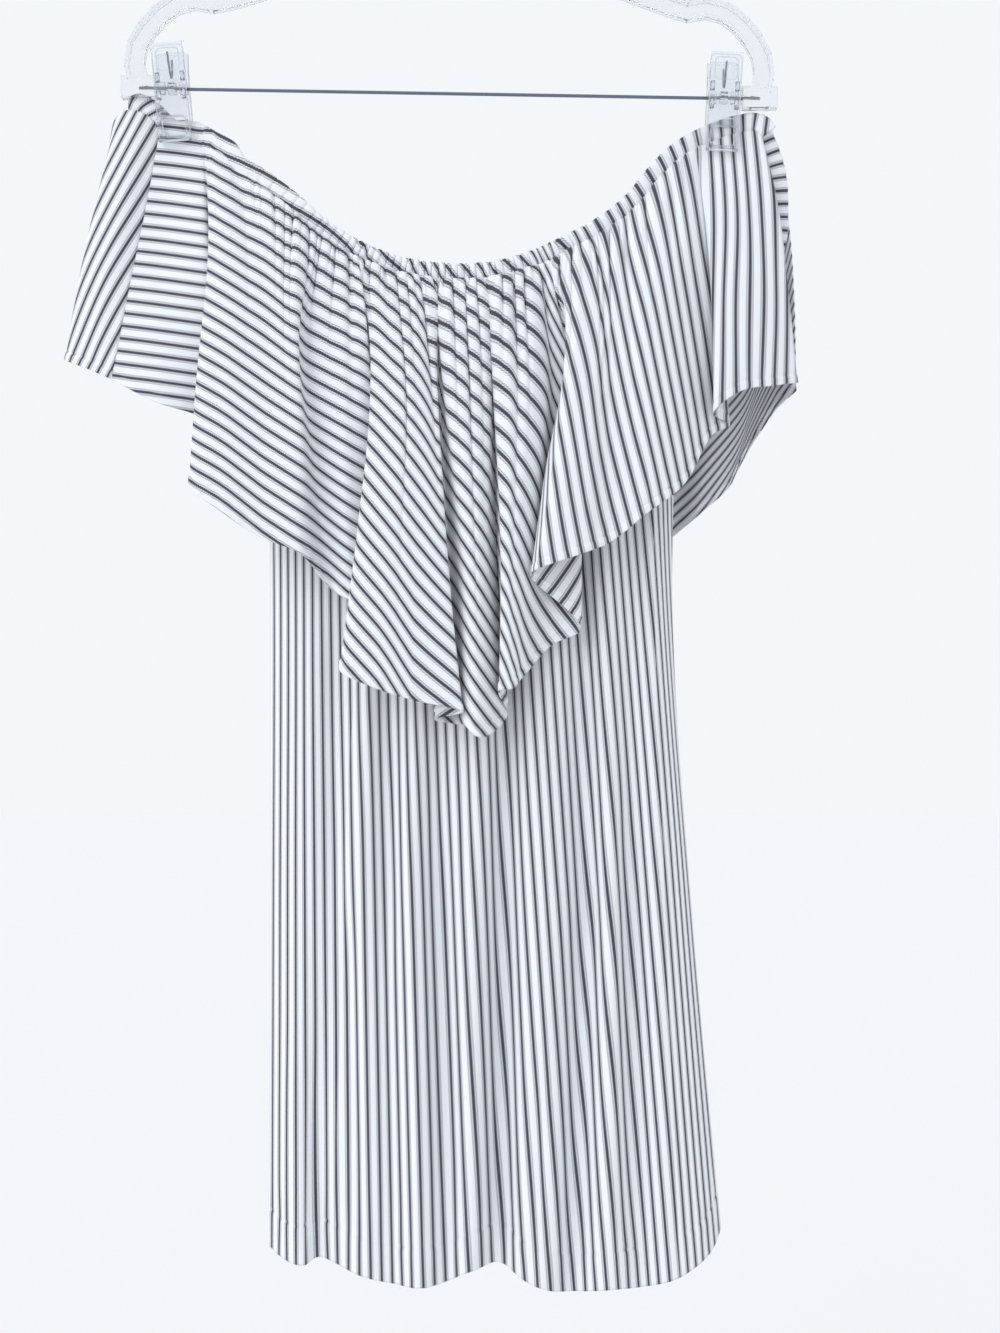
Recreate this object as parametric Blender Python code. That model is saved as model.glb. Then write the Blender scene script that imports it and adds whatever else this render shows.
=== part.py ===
"""Off-shoulder dress with one wide flounce, held by two clips of a clear hanger.

Each piece of cloth is a wall worked out from a short table: a row for each
fold line, from left to right, with the places that the line passes on its way
down. Sizes in the tables are millimetres as seen from the front: across from
the middle of the hanger, and drop below the point that the hook hangs from.
Forward sizes say how far a fold stands in front of the cloth's mean depth; those
of the flounce are multiplied by FOLD_FULLNESS.
"""
import math

import bmesh
import bpy
import numpy as np
from mathutils import Matrix, Vector

MM = 0.001

# the view that the sizes were read from
VIEW_DISTANCE = 1100.0
VIEW_ACROSS = 34.0
VIEW_DROP = 585.0

# cloth walls, and the gaps between two pieces at a seam
CLOTH = 1.5
FLOUNCE_CLOTH = 1.2
SEAM_GAP = 1.4
LAYER_GAP = 0.5

# neck casings, and how far the front one comes forward between the clips
CASING_HEIGHT = 11.5
CASING_THICK = 3.6
NECK_FORWARD = 24.0
NECK_MIDDLE_DROP = 250.0
CLIP_REACH = 165.0

# the farthest that a top edge is moved to meet its casing
NECK_REACH = 9.0

# gathers under the casings, and the part of the cloth's length they reach
GATHER_DEPTH = 0.8
GATHER_FADE = 0.35

# how far forward the front flounce hangs at its sides and its middle
FLOUNCE_SIDE_DEPTH = 8.0
FLOUNCE_MID_DEPTH = 42.0
FLOUNCE_REACH = 240.0
FOLD_FULLNESS = 1.6

# half the body's depth at the top, chest, skirt and hem, and the drop over
# which its front and back close to the side seams at the armholes
BODY_HALF_DEPTHS = (0.0, 22.0, 25.0, 27.0)
BODY_CLOSING_FRONT = 100.0
BODY_CLOSING_BACK = 26.0

# grid of each cloth: columns per fold, rows down, part left off at each side seam
FLOUNCE_FRONT_GRID = (2, 12, (0.06, 0.10))
FLOUNCE_BACK_GRID = (2, 9, (0.06, 0.10))
BODY_FRONT_GRID = (2, 12, (0.30, 0.30))
BODY_BACK_GRID = (2, 10, (0.20, 0.20))
CASING_FRONT_STATIONS = 117
CASING_BACK_STATIONS = 61

# how far down a fold line each column of a table lies
FLOUNCE_LEVELS = (0.0, 0.30, 0.65, 1.0)
BODY_LEVELS = (0.0, 0.25, 0.62, 1.0)
FLOUNCE_SETTLE = (0.0, 0.60, 0.90, 1.0)
FLOUNCE_SETTLE_CLIPPED = (0.0, 0.25, 0.60, 1.0)

# middle line of the front neck casing: across, drop
FRONT_NECK = [
    (-212, 216), (-204, 215.5), (-196, 219), (-181, 229), (-168, 230), (-157, 236), (-146, 242),
    (-138, 253), (-125, 261), (-105, 276), (-85, 294), (-59, 310), (-32, 320), (-6, 324),
    (21, 324), (47, 319), (74, 308), (100, 294), (120, 279), (140, 255), (153, 243), (168, 234),
    (180, 229), (191, 226), (202, 224),
]

# middle line of the back neck casing: across, drop, depth
BACK_NECK = [
    (209, 233, 6), (217, 256, 8), (219, 279, 10), (218, 301, 12), (211, 322, 14),
    (190, 344, 18), (146, 362, 22), (74, 372, 26), (0, 375, 27), (-72, 372, 26), (-142, 363, 22),
    (-188, 342, 18), (-209, 317, 14), (-217, 292, 12), (-217, 263, 9), (-214, 236, 6.5),
]

# fold lines of the front flounce:
# name, across at neck, upper, lower and hem, drop of hem, forward at upper, lower and hem
FLOUNCE_FRONT = [
    ("side_seam",   -191, -200, -212, -223,  395,    0,    0,    0),
    ("side_flat",   -178, -184, -189, -194,  410,    1,    1,    1),
    ("side_edge",   -165, -164, -162, -164,  420,   -1,   -4,   -5),
    ("hidden_1",    -162, -158, -146, -141,  439,   -5,   -8,   -9),
    ("a_fold",      -158, -158, -166, -172,  463,    5,    8,    9),
    ("a_left",      -150, -145, -148, -150,  483,    6,    9,   10),
    ("a_middle",    -124, -121, -123, -124,  500,    4,    6,    7),
    ("a_right",     -100, -103,  -99,  -99,  510,    3,    5,    6),
    ("valley_1",     -83,  -93,  -87,  -78,  534,   -3,   -5,   -6),
    ("a_inner",      -69,  -70,  -69,  -64,  542,   -1,   -2,   -3),
    ("hidden_2",     -58,  -51,  -42,  -39,  567,   -5,   -9,  -10),
    ("b_fold",       -51,  -50,  -60,  -72,  587,    4,    8,    9),
    ("b_left",       -41,  -35,  -42,  -47,  600,    5,   10,   11),
    ("b_middle",     -28,  -22,  -22,  -25,  607,    4,    8,    9),
    ("b_right",      -16,   -8,   -1,    9,  615,    2,    6,    7),
    ("b_under",      -12,   -8,   -5,  -10,  620,   -2,   -2,    0),
    ("hidden_3",      -8,   -5,    1,    4,  623,   -5,   -7,   -8),
    ("c_left",        -1,    3,   10,   11,  624,    2,    4,    5),
    ("c_point",        9,   13,   17,   20,  632,    3,    6,    8),
    ("c_right",       21,   25,   26,   32,  626,    1,    2,    0),
    ("valley_3",      27,   30,   32,   39,  615,   -5,   -8,   -8),
    ("d_left",        32,   34,   36,   34,  601,    2,    4,    5),
    ("d_middle",      42,   44,   42,   41,  600,    3,    5,    6),
    ("d_right",       54,   60,   53,   48,  593,    1,    2,    2),
    ("d_inner",       61,   70,   69,   68,  571,   -5,   -9,   -8),
    ("d_corner",      67,   81,   87,   88,  560,   -5,   -8,   -7),
    ("under_left",    72,   79,   65,   55,  526,   -1,    0,    1),
    ("e_fold",        80,   78,   70,   58,  521,    5,    7,    8),
    ("e_left",        93,   97,   93,   89,  510,    5,    8,    9),
    ("e_crease",     108,  108,  107,  108,  502,    2,    4,    5),
    ("e_middle",     124,  127,  129,  132,  483,    4,    6,    7),
    ("e_right",      141,  145,  150,  156,  464,    3,    4,    3),
    ("e_inner",      155,  161,  168,  174,  432,   -2,   -4,   -4),
    ("hidden_5",     162,  170,  181,  186,  425,   -6,   -9,   -9),
    ("f_fold",       167,  172,  175,  176,  416,    2,    3,    4),
    ("f_left",       180,  187,  190,  195,  402,    2,    4,    4),
    ("f_right",      194,  203,  211,  215,  399,    1,    3,    3),
    ("side_seam_r",  206,  218,  225,  231,  397,    0,    0,    0),
]

# fold lines of the back flounce between its side seams:
# name, across and drop at neck, across at upper, lower and hem, drop of hem,
# depth at neck, upper, lower and hem
FLOUNCE_BACK = [
    ("left_front",  -203,  218, -215, -229, -239,  388,   -3,   -9,  -10,   -9),
    ("left_edge",   -217,  218, -231, -244, -254,  382,   -1,   -1,    0,    1),
    ("left_turn",   -224,  232, -227, -232, -238,  385,   10,   11,   12,   13),
    ("left_back",   -220,  269, -214, -213, -210,  394,   15,   18,   21,   23),
    ("left_low",    -209,  320, -199, -190, -184,  403,   20,   24,   29,   33),
    ("fold_1",      -196,  343, -181, -172, -168,  411,   22,   31,   41,   47),
    ("back_1",      -176,  356, -162, -150, -138,  444,   24,   27,   30,   33),
    ("fold_2",      -152,  367, -141, -132, -126,  480,   26,   37,   48,   54),
    ("back_2",      -126,  374, -115, -104,  -94,  505,   27,   31,   34,   37),
    ("fold_3",       -98,  378,  -92,  -86,  -80,  528,   29,   40,   50,   57),
    ("back_3",       -70,  381,  -63,  -55,  -46,  548,   29,   32,   35,   37),
    ("fold_4",       -42,  382,  -38,  -35,  -32,  569,   30,   42,   52,   60),
    ("back_4",       -14,  383,  -10,   -5,    2,  582,   30,   33,   36,   38),
    ("fold_5",        12,  383,   13,   14,   17,  586,   30,   41,   52,   59),
    ("back_5",        38,  382,   38,   40,   44,  573,   30,   33,   36,   38),
    ("fold_6",        66,  381,   64,   62,   60,  562,   29,   40,   50,   57),
    ("back_6",        94,  378,   91,   88,   88,  546,   28,   31,   34,   37),
    ("fold_7",       122,  375,  116,  110,  105,  532,   27,   38,   48,   55),
    ("back_7",       148,  369,  140,  134,  130,  515,   26,   30,   34,   37),
    ("fold_8",       170,  362,  161,  152,  145,  502,   25,   33,   41,   47),
    ("back_8",       191,  352,  181,  171,  165,  485,   23,   25,   28,   31),
    ("back_9",       212,  327,  204,  195,  185,  467,   21,   23,   24,   26),
    ("right_turn",    220,  296,  214,  207,  196,  446,   19,   21,   21,   21),
    ("right_back",    220,  262,  221,  221,  214,  418,   17,   18,   15,    9),
    ("right_edge",    215,  242,  225,  229,  230,  402,   12,   13,    4,   -6),
]

# fold lines of the body front between its side seams:
# name, across and drop at the top, across at chest, skirt and hem, drop of hem,
# forward at chest, skirt and hem
BODY_FRONT = [
    ("side_left",   -119,  410, -118, -118, -119,  968,    0,    0,    0),
    ("armhole_1",   -123,  369, -110, -110, -109,  977,    2,    2,    3),
    ("armhole_2",   -130,  319,  -96,  -97,  -96,  982,    2,    3,    6),
    ("armhole_3",   -136,  284,  -74,  -76,  -85,  976,   -2,   -3,   -5),
    ("neck_left",   -131,  266,  -59,  -58,  -58,  989,    2,    3,    4),
    ("valley_b",    -107,  281,  -40,  -40,  -35,  994,   -2,   -3,    0),
    ("crest_c",      -69,  312,  -23,  -24,  -19,  997,    2,    3,    7),
    ("valley_c",     -32,  327,   -7,   -5,   -1,  992,   -3,   -6,   -3),
    ("crest_d",        1,  331,   13,   15,   14,  986,    2,    3,    1),
    ("valley_d",      34,  329,   37,   37,   32,  980,   -5,   -9,  -10),
    ("crest_e",       60,  320,   60,   62,   60,  997,    2,    4,    6),
    ("valley_e",      83,  310,   87,   91,   83,  999,   -3,   -6,   -4),
    ("crest_f",      103,  299,  104,  108,  107,  998,    2,    4,    6),
    ("valley_f",     127,  281,  121,  122,  127,  996,   -1,   -4,   -2),
    ("neck_right",   150,  256,  135,  138,  148,  992,    2,    2,    3),
    ("armhole_4",    156,  288,  140,  148,  162,  984,    1,    1,    3),
    ("armhole_5",    154,  350,  144,  156,  174,  972,    0,    1,    1),
    ("side_right",   150,  410,  148,  161,  180,  957,    0,    0,    0),
]

# fold lines of the body back, with the same columns
BODY_BACK = [
    ("side_left",   -119,  410, -118, -118, -119,  968,    0,    0,    0),
    ("armhole_1",   -127,  396, -104, -104, -101,  968,    2,    3,    3),
    ("neck_left",   -130,  374,  -80,  -82,  -80,  967,    0,   -3,   -4),
    ("crest_a",      -95,  378,  -55,  -56,  -57,  972,    3,    4,    5),
    ("valley_a",     -50,  381,  -30,  -30,  -32,  975,   -2,   -4,   -5),
    ("crest_b",        0,  382,    2,    4,    6,  973,    3,    5,    6),
    ("valley_b",      45,  381,   35,   38,   42,  968,   -1,   -4,   -5),
    ("crest_c",       90,  378,   68,   74,   82,  977,    3,    4,    5),
    ("valley_c",     130,  373,   98,  106,  116,  977,   -2,   -4,   -4),
    ("armhole_2",    142,  380,  124,  132,  146,  971,    2,    3,    3),
    ("side_right",   150,  410,  148,  161,  180,  957,    0,    0,    0),
]

# hanger
ROD_RADIUS = 1.1
ROD_LEFT = (-205.0, 202.0)
ROD_RIGHT = (206.0, 209.0)
BORE_CLEARANCE = 0.35
ARM_HEIGHT = 13.0
ARM_WIDTH = 7.0
ARM_WEB = 2.4
ARM_FLANGE = 2.2
BLOCK_SIZE = (23.0, 9.0, 14.0)
BOSS_RADIUS = 7.0
BOSS_HEIGHT = 22.0
HOOK_WIRE = 1.8
HOOK_RADIUS = 24.0
HOOK_STEM_TOP = -62.0
NECK_DROP = 92.0

# middle line of the hanger's arms, from the left end to the right: across, drop
ARM_LINE = [
    (-205, 199), (-208, 184), (-205, 171), (-198, 161), (-188, 151), (-176, 144), (-165, 143),
    (-156, 145), (-142, 142), (-99, 128), (-46, 109), (-13, 97), (0, 95), (14, 98), (47, 112),
    (100, 130), (143, 146), (158, 151), (168, 149), (178, 150), (190, 157), (199, 167), (206, 178),
    (209, 191), (206, 206),
]

# clip jaws, seen from the side: forward from the rod, height above it
JAW_LINE = [
    (11.0, 27.0), (4.6, 8.0), (4.6, -8.0), (5.0, -15.0), (2.3, -21.0), (2.3, -30.0),
    (4.8, -36.5),
]
JAW_THICK = 2.4
JAW_WIDTH = 21.0
JAW_RIM = 2.0
JAW_WINDOW = (-33.0, -20.0)
BARREL_RADIUS = 4.3
BARREL_LENGTH = 5.0
SPRING_WIRE = 0.7
SPRING_LINE = [
    (8.0, 22.0), (5.4, 14.0), (3.2, 9.0), (0.0, 7.0), (-3.2, 9.0), (-5.4, 14.0), (-8.0, 22.0),
]
# name, across on the rod, lean from upright in degrees
CLIPS = [
    ("left", -183.0, 5.0),
    ("right", 182.0, -2.8),
]


def clear_scene():
    for old in list(bpy.data.objects):
        bpy.data.objects.remove(old, do_unlink=True)


def make_material(name, colour, roughness, metallic=0.0, alpha=1.0):
    material = bpy.data.materials.new(name)
    material.use_nodes = True
    shader = material.node_tree.nodes["Principled BSDF"]
    shader.inputs["Base Color"].default_value = (*colour, 1.0)
    shader.inputs["Roughness"].default_value = roughness
    shader.inputs["Metallic"].default_value = metallic
    shader.inputs["Alpha"].default_value = alpha
    return material


def spline(points, knots, places):
    """Smooth curve through points of any dimension, read at places on its knots."""
    points, knots = np.asarray(points, dtype=float), np.asarray(knots, dtype=float)
    steps = np.diff(knots)
    slopes = np.diff(points, axis=0) / steps.reshape(-1, *([1] * (points.ndim - 1)))
    tangents = np.empty_like(points)
    tangents[0] = slopes[0]
    tangents[-1] = slopes[-1]
    for i in range(1, len(points) - 1):
        before, after = steps[i - 1], steps[i]
        tangents[i] = (slopes[i - 1] * after + slopes[i] * before) / (before + after)
    result = []
    for place in places:
        i = int(np.clip(np.searchsorted(knots, place, side="right") - 1, 0, len(steps) - 1))
        h = steps[i]
        s = (place - knots[i]) / h
        result.append(
            (2 * s**3 - 3 * s**2 + 1) * points[i] + (s**3 - 2 * s**2 + s) * h * tangents[i]
            + (3 * s**2 - 2 * s**3) * points[i + 1] + (s**3 - s**2) * h * tangents[i + 1])
    return np.array(result)


def chord_knots(points):
    """Knots spaced by the square root of the distance between the points."""
    gaps = np.linalg.norm(np.diff(np.asarray(points, dtype=float), axis=0), axis=1)
    return np.concatenate([[0.0], np.cumsum(np.sqrt(gaps))])


def even_path(points, stations):
    """The smooth curve through the points, read at evenly spaced stations."""
    knots = chord_knots(points)
    fine = spline(points, knots, np.linspace(0.0, knots[-1], 600))
    length = np.concatenate([[0.0], np.cumsum(np.linalg.norm(np.diff(fine, axis=0), axis=1))])
    places = np.linspace(0.0, length[-1], stations)
    return np.stack([np.interp(places, length, fine[:, k]) for k in range(fine.shape[1])], axis=1)


def at_depth(across, drop, depth):
    """World place in metres of a point seen at across and drop, depth behind the rod."""
    scale = 1.0 + depth / VIEW_DISTANCE
    x = VIEW_ACROSS + (across - VIEW_ACROSS) * scale
    z = -(VIEW_DROP + (drop - VIEW_DROP) * scale)
    return (x * MM, depth * MM, z * MM)


def neck_depth(across):
    """Depth of the front neckline: level with the rod in the clips, forward between them."""
    return -NECK_FORWARD * max(0.0, 1.0 - (across / CLIP_REACH) ** 2)


def casing_lower_edge():
    """The front casing's lower edge, from left to right: across, drop."""
    line = even_path(FRONT_NECK, 200)
    along = np.gradient(line, axis=0)
    along /= np.linalg.norm(along, axis=1, keepdims=True)
    below = np.stack([-along[:, 1], along[:, 0]], axis=1)
    return line + below * (CASING_HEIGHT / 2 + SEAM_GAP)


def neck_drop_below(across):
    """Drop of the cloth's top edge, just under the front casing."""
    edge = casing_lower_edge()
    return float(np.interp(across, edge[:, 0], edge[:, 1]))


def flounce_depth(across):
    """Mean depth of the front flounce at its hem."""
    return -(FLOUNCE_SIDE_DEPTH + FLOUNCE_MID_DEPTH * max(0.0, 1.0 - (across / FLOUNCE_REACH) ** 2))


def flounce_front_lines():
    lines = []
    for _, top, upper, lower, hem, hem_drop, *forward in FLOUNCE_FRONT:
        top_drop = neck_drop_below(top)
        top_depth = neck_depth(top) - FLOUNCE_CLOTH / 2 - LAYER_GAP
        settles = FLOUNCE_SETTLE_CLIPPED if abs(top) > CLIP_REACH else FLOUNCE_SETTLE
        sizes = zip(FLOUNCE_LEVELS, settles, (top, upper, lower, hem), [0.0, *forward])
        line = []
        for level, settle, across, out in sizes:
            depth = top_depth + (flounce_depth(hem) - top_depth) * settle - out * FOLD_FULLNESS
            line.append(at_depth(across, top_drop + (hem_drop - top_drop) * level, depth))
        lines.append(line)
    return np.array(lines)


def flounce_back_lines():
    front = flounce_front_lines()
    lines = [front[0]]
    for _, top, top_drop, upper, lower, hem, hem_drop, *depths in FLOUNCE_BACK:
        line = []
        for level, across, depth in zip(FLOUNCE_LEVELS, (top, upper, lower, hem), depths):
            line.append(at_depth(across, top_drop + (hem_drop - top_drop) * level, depth))
        lines.append(line)
    return np.array(lines)


def body_across(row):
    """Across sizes of a body row at the top, chest, skirt and hem."""
    _, top, _, chest, skirt, hem, *_ = row
    return (top, chest, skirt, hem)


def body_lines(rows, side):
    """side is -1 for the front, whose depth is negative, and 1 for the back."""
    lefts, rights = body_across(rows[0]), body_across(rows[-1])
    lines = []
    for row in rows:
        _, top, top_drop, _, _, _, hem_drop, *forward = row
        if side < 0:
            top_drop = max(top_drop, neck_drop_below(top))
        sizes = zip(BODY_LEVELS, body_across(row), lefts, rights, BODY_HALF_DEPTHS, [0.0, *forward])
        line = []
        for level, across, left, right, half_depth, out in sizes:
            place = (2 * across - left - right) / (right - left)
            roundness = math.sqrt(max(0.0, 1.0 - abs(place) ** 3))
            depth = side * (half_depth * roundness + out)
            if level == BODY_LEVELS[0]:
                depth = body_top_depth(row, rows, side)
            line.append(at_depth(across, top_drop + (hem_drop - top_drop) * level, depth))
        lines.append(line)
    return np.array(lines)


def body_top_depth(row, rows, side):
    """At the top the body hangs inside the neck casing, and closes to its side seams."""
    _, top, top_drop, *_ = row
    if row is rows[0] or row is rows[-1]:
        return 0.0
    if side < 0:
        near = min(1.0, (rows[0][2] - top_drop) / BODY_CLOSING_FRONT)
        return (neck_depth(top) + CLOTH / 2 + LAYER_GAP) * near
    line = np.array(sorted(BACK_NECK), dtype=float)
    depth = np.interp(top, line[:, 0], line[:, 2]) - CLOTH
    return depth * min(1.0, (rows[0][2] - top_drop) / BODY_CLOSING_BACK)


def cloth_points(lines, levels, per_fold, rows_down, trims=(0.0, 0.0)):
    """Grid of points on a cloth: per_fold columns between two fold lines."""
    knots = chord_knots(lines[:, -1])
    places = [knots[0] + trims[0] * (knots[1] - knots[0])]
    for i in range(len(knots) - 1):
        for k in range(1, per_fold + 1):
            places.append(knots[i] + (knots[i + 1] - knots[i]) * k / per_fold)
    places[-1] = knots[-1] - trims[1] * (knots[-1] - knots[-2])
    down = np.linspace(0.0, 1.0, rows_down + 1)
    columns = np.stack([spline(line, levels, down) for line in lines])
    return spline(columns, knots, places)


def hang_from_neck(points):
    """Lets the top edge follow the casing's lower edge, and the cloth below it a little less."""
    rows = points.shape[1]
    for column in points:
        depth = column[0, 1] / MM
        scale = 1.0 + depth / VIEW_DISTANCE
        across = VIEW_ACROSS + (column[0, 0] / MM - VIEW_ACROSS) / scale
        lift = at_depth(across, neck_drop_below(across), depth)[2] - column[0, 2]
        if abs(lift) > NECK_REACH * MM:
            continue
        for j in range(rows):
            column[j, 2] += lift * (1.0 - j / (rows - 1)) ** 3
    return points


def gathered(place):
    """The neck is gathered between the clips, and flat inside them."""
    return 1.0 if abs(place[0]) < CLIP_REACH * MM else 0.0


def add_gathers(points, depth, fade):
    """Small gathers below a casing: every other column stands forward, less so further down."""
    rows = points.shape[1]
    for i in range(1, points.shape[0] - 1):
        for j in range(rows):
            part = max(0.0, 1.0 - (j / (rows - 1)) / fade)
            points[i, j, 1] += depth * MM * part * gathered(points[i, 0]) * (1 if i % 2 else -1) / 2
    return points


def fold_directions(points):
    """Direction across the folds at each point, halfway between those of its two sides."""
    steps = np.diff(points, axis=0)
    steps /= np.linalg.norm(steps, axis=2, keepdims=True)
    return np.concatenate([steps[:1], steps[1:] + steps[:-1], steps[-1:]])


def grid_normals(points):
    normals = np.cross(fold_directions(points), np.gradient(points, axis=1))
    return normals / np.linalg.norm(normals, axis=2, keepdims=True)


def finish_object(name, bm, material, smooth_angle=40.0):
    bmesh.ops.triangulate(bm, faces=bm.faces[:], quad_method="SHORT_EDGE")
    if bm.calc_volume(signed=True) < 0:
        bmesh.ops.reverse_faces(bm, faces=bm.faces[:])
    mesh = bpy.data.meshes.new(name)
    bm.to_mesh(mesh)
    bm.free()
    mesh.shade_smooth()
    mesh.set_sharp_from_angle(angle=math.radians(smooth_angle))
    mesh.materials.append(material)
    made = bpy.data.objects.new(name, mesh)
    bpy.context.scene.collection.objects.link(made)
    return made


def cloth_wall(name, points, material, thick=CLOTH):
    """Closed wall around a grid of points on the middle of the cloth."""
    columns, rows, _ = points.shape
    offset = grid_normals(points) * (thick * MM / 2)
    bm = bmesh.new()
    sides = []
    for sign in (1, -1):
        placed = points + sign * offset
        sides.append([[bm.verts.new(placed[i, j]) for j in range(rows)] for i in range(columns)])
    near, far = sides
    for i in range(columns - 1):
        for j in range(rows - 1):
            bm.faces.new((near[i][j], near[i + 1][j], near[i + 1][j + 1], near[i][j + 1]))
            bm.faces.new((far[i][j], far[i][j + 1], far[i + 1][j + 1], far[i + 1][j]))
    for i in range(columns - 1):
        bm.faces.new((near[i + 1][0], near[i][0], far[i][0], far[i + 1][0]))
        bm.faces.new((near[i][-1], near[i + 1][-1], far[i + 1][-1], far[i][-1]))
    for j in range(rows - 1):
        bm.faces.new((near[0][j], near[0][j + 1], far[0][j + 1], far[0][j]))
        bm.faces.new((near[-1][j + 1], near[-1][j], far[-1][j], far[-1][j + 1]))
    return finish_object(name, bm, material)


def casing(name, path, guide, gathers, gather_depth, material):
    """Gathered tube along a neckline. guide gives the side that the top edge faces."""
    stations = len(path)
    tangents = np.gradient(path, axis=0)
    half_high = CASING_HEIGHT / 2 * MM
    half_thick = CASING_THICK / 2 * MM
    section = [(1.0, -0.45), (1.0, 0.45), (0.1, 1.0), (-1.0, 0.45), (-1.0, -0.45), (0.1, -1.0)]
    bm = bmesh.new()
    rings = []
    for i, (place, tangent) in enumerate(zip(path, tangents)):
        along = Vector(tangent).normalized()
        up = Vector(guide(place))
        up = (up - along * up.dot(along)).normalized()
        out = along.cross(up).normalized()
        step = (1 if i % 2 else -1) * gather_depth * MM / 2 * gathers(place)
        ring = []
        for high, thick in section:
            bulge = step if abs(thick) == 1.0 else 0.0
            away = thick * (half_thick + bulge)
            ring.append(bm.verts.new(Vector(place) + up * (high * half_high) + out * away))
        rings.append(ring)
    for ring, following in zip(rings, rings[1:]):
        for k in range(len(section)):
            n = (k + 1) % len(section)
            bm.faces.new((ring[k], ring[n], following[n], following[k]))
    bm.faces.new(rings[0][::-1])
    bm.faces.new(rings[-1])
    return finish_object(name, bm, material)


def front_neck_path(stations):
    flat = even_path(FRONT_NECK, stations)
    return np.array([at_depth(x, drop, neck_depth(x)) for x, drop in flat])


def back_neck_path(stations):
    flat = even_path(BACK_NECK, stations)
    return np.array([at_depth(*place) for place in flat])


def up_from(place):
    """The top edge of the front casing faces upwards."""
    return (0.0, 0.0, 1.0)


def neck_side(place):
    """The top edge of the back casing faces the middle of the neck opening."""
    return Vector((0.0, place[1], -NECK_MIDDLE_DROP * MM)) - Vector(place)


def evenly_gathered(place):
    return 1.0


def make_cloth(material):
    front = cloth_points(flounce_front_lines(), FLOUNCE_LEVELS, *FLOUNCE_FRONT_GRID)
    front = add_gathers(hang_from_neck(front), GATHER_DEPTH, GATHER_FADE)
    cloth_wall("flounce_front", front, material, FLOUNCE_CLOTH)
    back = cloth_points(flounce_back_lines(), FLOUNCE_LEVELS, *FLOUNCE_BACK_GRID)
    cloth_wall("flounce_back", back, material, FLOUNCE_CLOTH)
    front = cloth_points(body_lines(BODY_FRONT, -1), BODY_LEVELS, *BODY_FRONT_GRID)
    cloth_wall("body_front", hang_from_neck(front), material)
    back = cloth_points(body_lines(BODY_BACK, 1), BODY_LEVELS, *BODY_BACK_GRID)
    cloth_wall("body_back", back, material)
    path = front_neck_path(CASING_FRONT_STATIONS)
    casing("neck_casing_front", path, up_from, gathered, GATHER_DEPTH, material)
    path = back_neck_path(CASING_BACK_STATIONS)
    casing("neck_casing_back", path, neck_side, evenly_gathered, GATHER_DEPTH / 2, material)


def sweep(name, path, section, material):
    """Closed bar of a flat section along a path in the plane of the hanger."""
    tangents = np.gradient(path, axis=0)
    bm = bmesh.new()
    rings = []
    for place, tangent in zip(path, tangents):
        along = Vector(tangent).normalized()
        up = Vector((-along.z, 0.0, along.x))
        ring = []
        for wide, high in section:
            ring.append(bm.verts.new(Vector(place) + up * (high * MM) + Vector((0, wide * MM, 0))))
        rings.append(ring)
    for ring, following in zip(rings, rings[1:]):
        for k in range(len(section)):
            n = (k + 1) % len(section)
            bm.faces.new((ring[k], ring[n], following[n], following[k]))
    bm.faces.new(rings[0][::-1])
    bm.faces.new(rings[-1])
    return finish_object(name, bm, material)


def box(name, centre, size, material):
    bm = bmesh.new()
    bmesh.ops.create_cube(bm, size=1.0)
    bmesh.ops.scale(bm, vec=Vector(size) * MM, verts=bm.verts)
    bmesh.ops.translate(bm, vec=Vector(centre) * MM, verts=bm.verts)
    return finish_object(name, bm, material)


def bar(name, start, end, radius, material, sides=16):
    """Straight round bar from start to end, in millimetres."""
    start, end = Vector(start) * MM, Vector(end) * MM
    length = (end - start).length
    turn = (end - start).to_track_quat("Z", "Y").to_matrix().to_4x4()
    bm = bmesh.new()
    place = Matrix.Translation((start + end) / 2) @ turn
    bmesh.ops.create_cone(
        bm, cap_ends=True, segments=sides, radius1=radius * MM, radius2=radius * MM,
        depth=length, matrix=place)
    return finish_object(name, bm, material)


def combine(target, tool, operation):
    """Boolean of a helper solid, which is kept as a hidden wire guide."""
    modifier = target.modifiers.new(operation.lower(), "BOOLEAN")
    modifier.operation = operation
    modifier.object = tool
    tool.hide_render = True
    tool.display_type = "WIRE"


def round_wire(name, points, radius, material):
    """Round wire through points in metres, with closed ends."""
    curve = bpy.data.curves.new(name, "CURVE")
    curve.dimensions = "3D"
    curve.bevel_depth = radius * MM
    curve.bevel_resolution = 2
    curve.use_fill_caps = True
    line = curve.splines.new("POLY")
    line.points.add(len(points) - 1)
    for point, place in zip(line.points, points):
        point.co = (*place, 1.0)
    curve.materials.append(material)
    made = bpy.data.objects.new(name, curve)
    bpy.context.scene.collection.objects.link(made)
    return made


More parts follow.
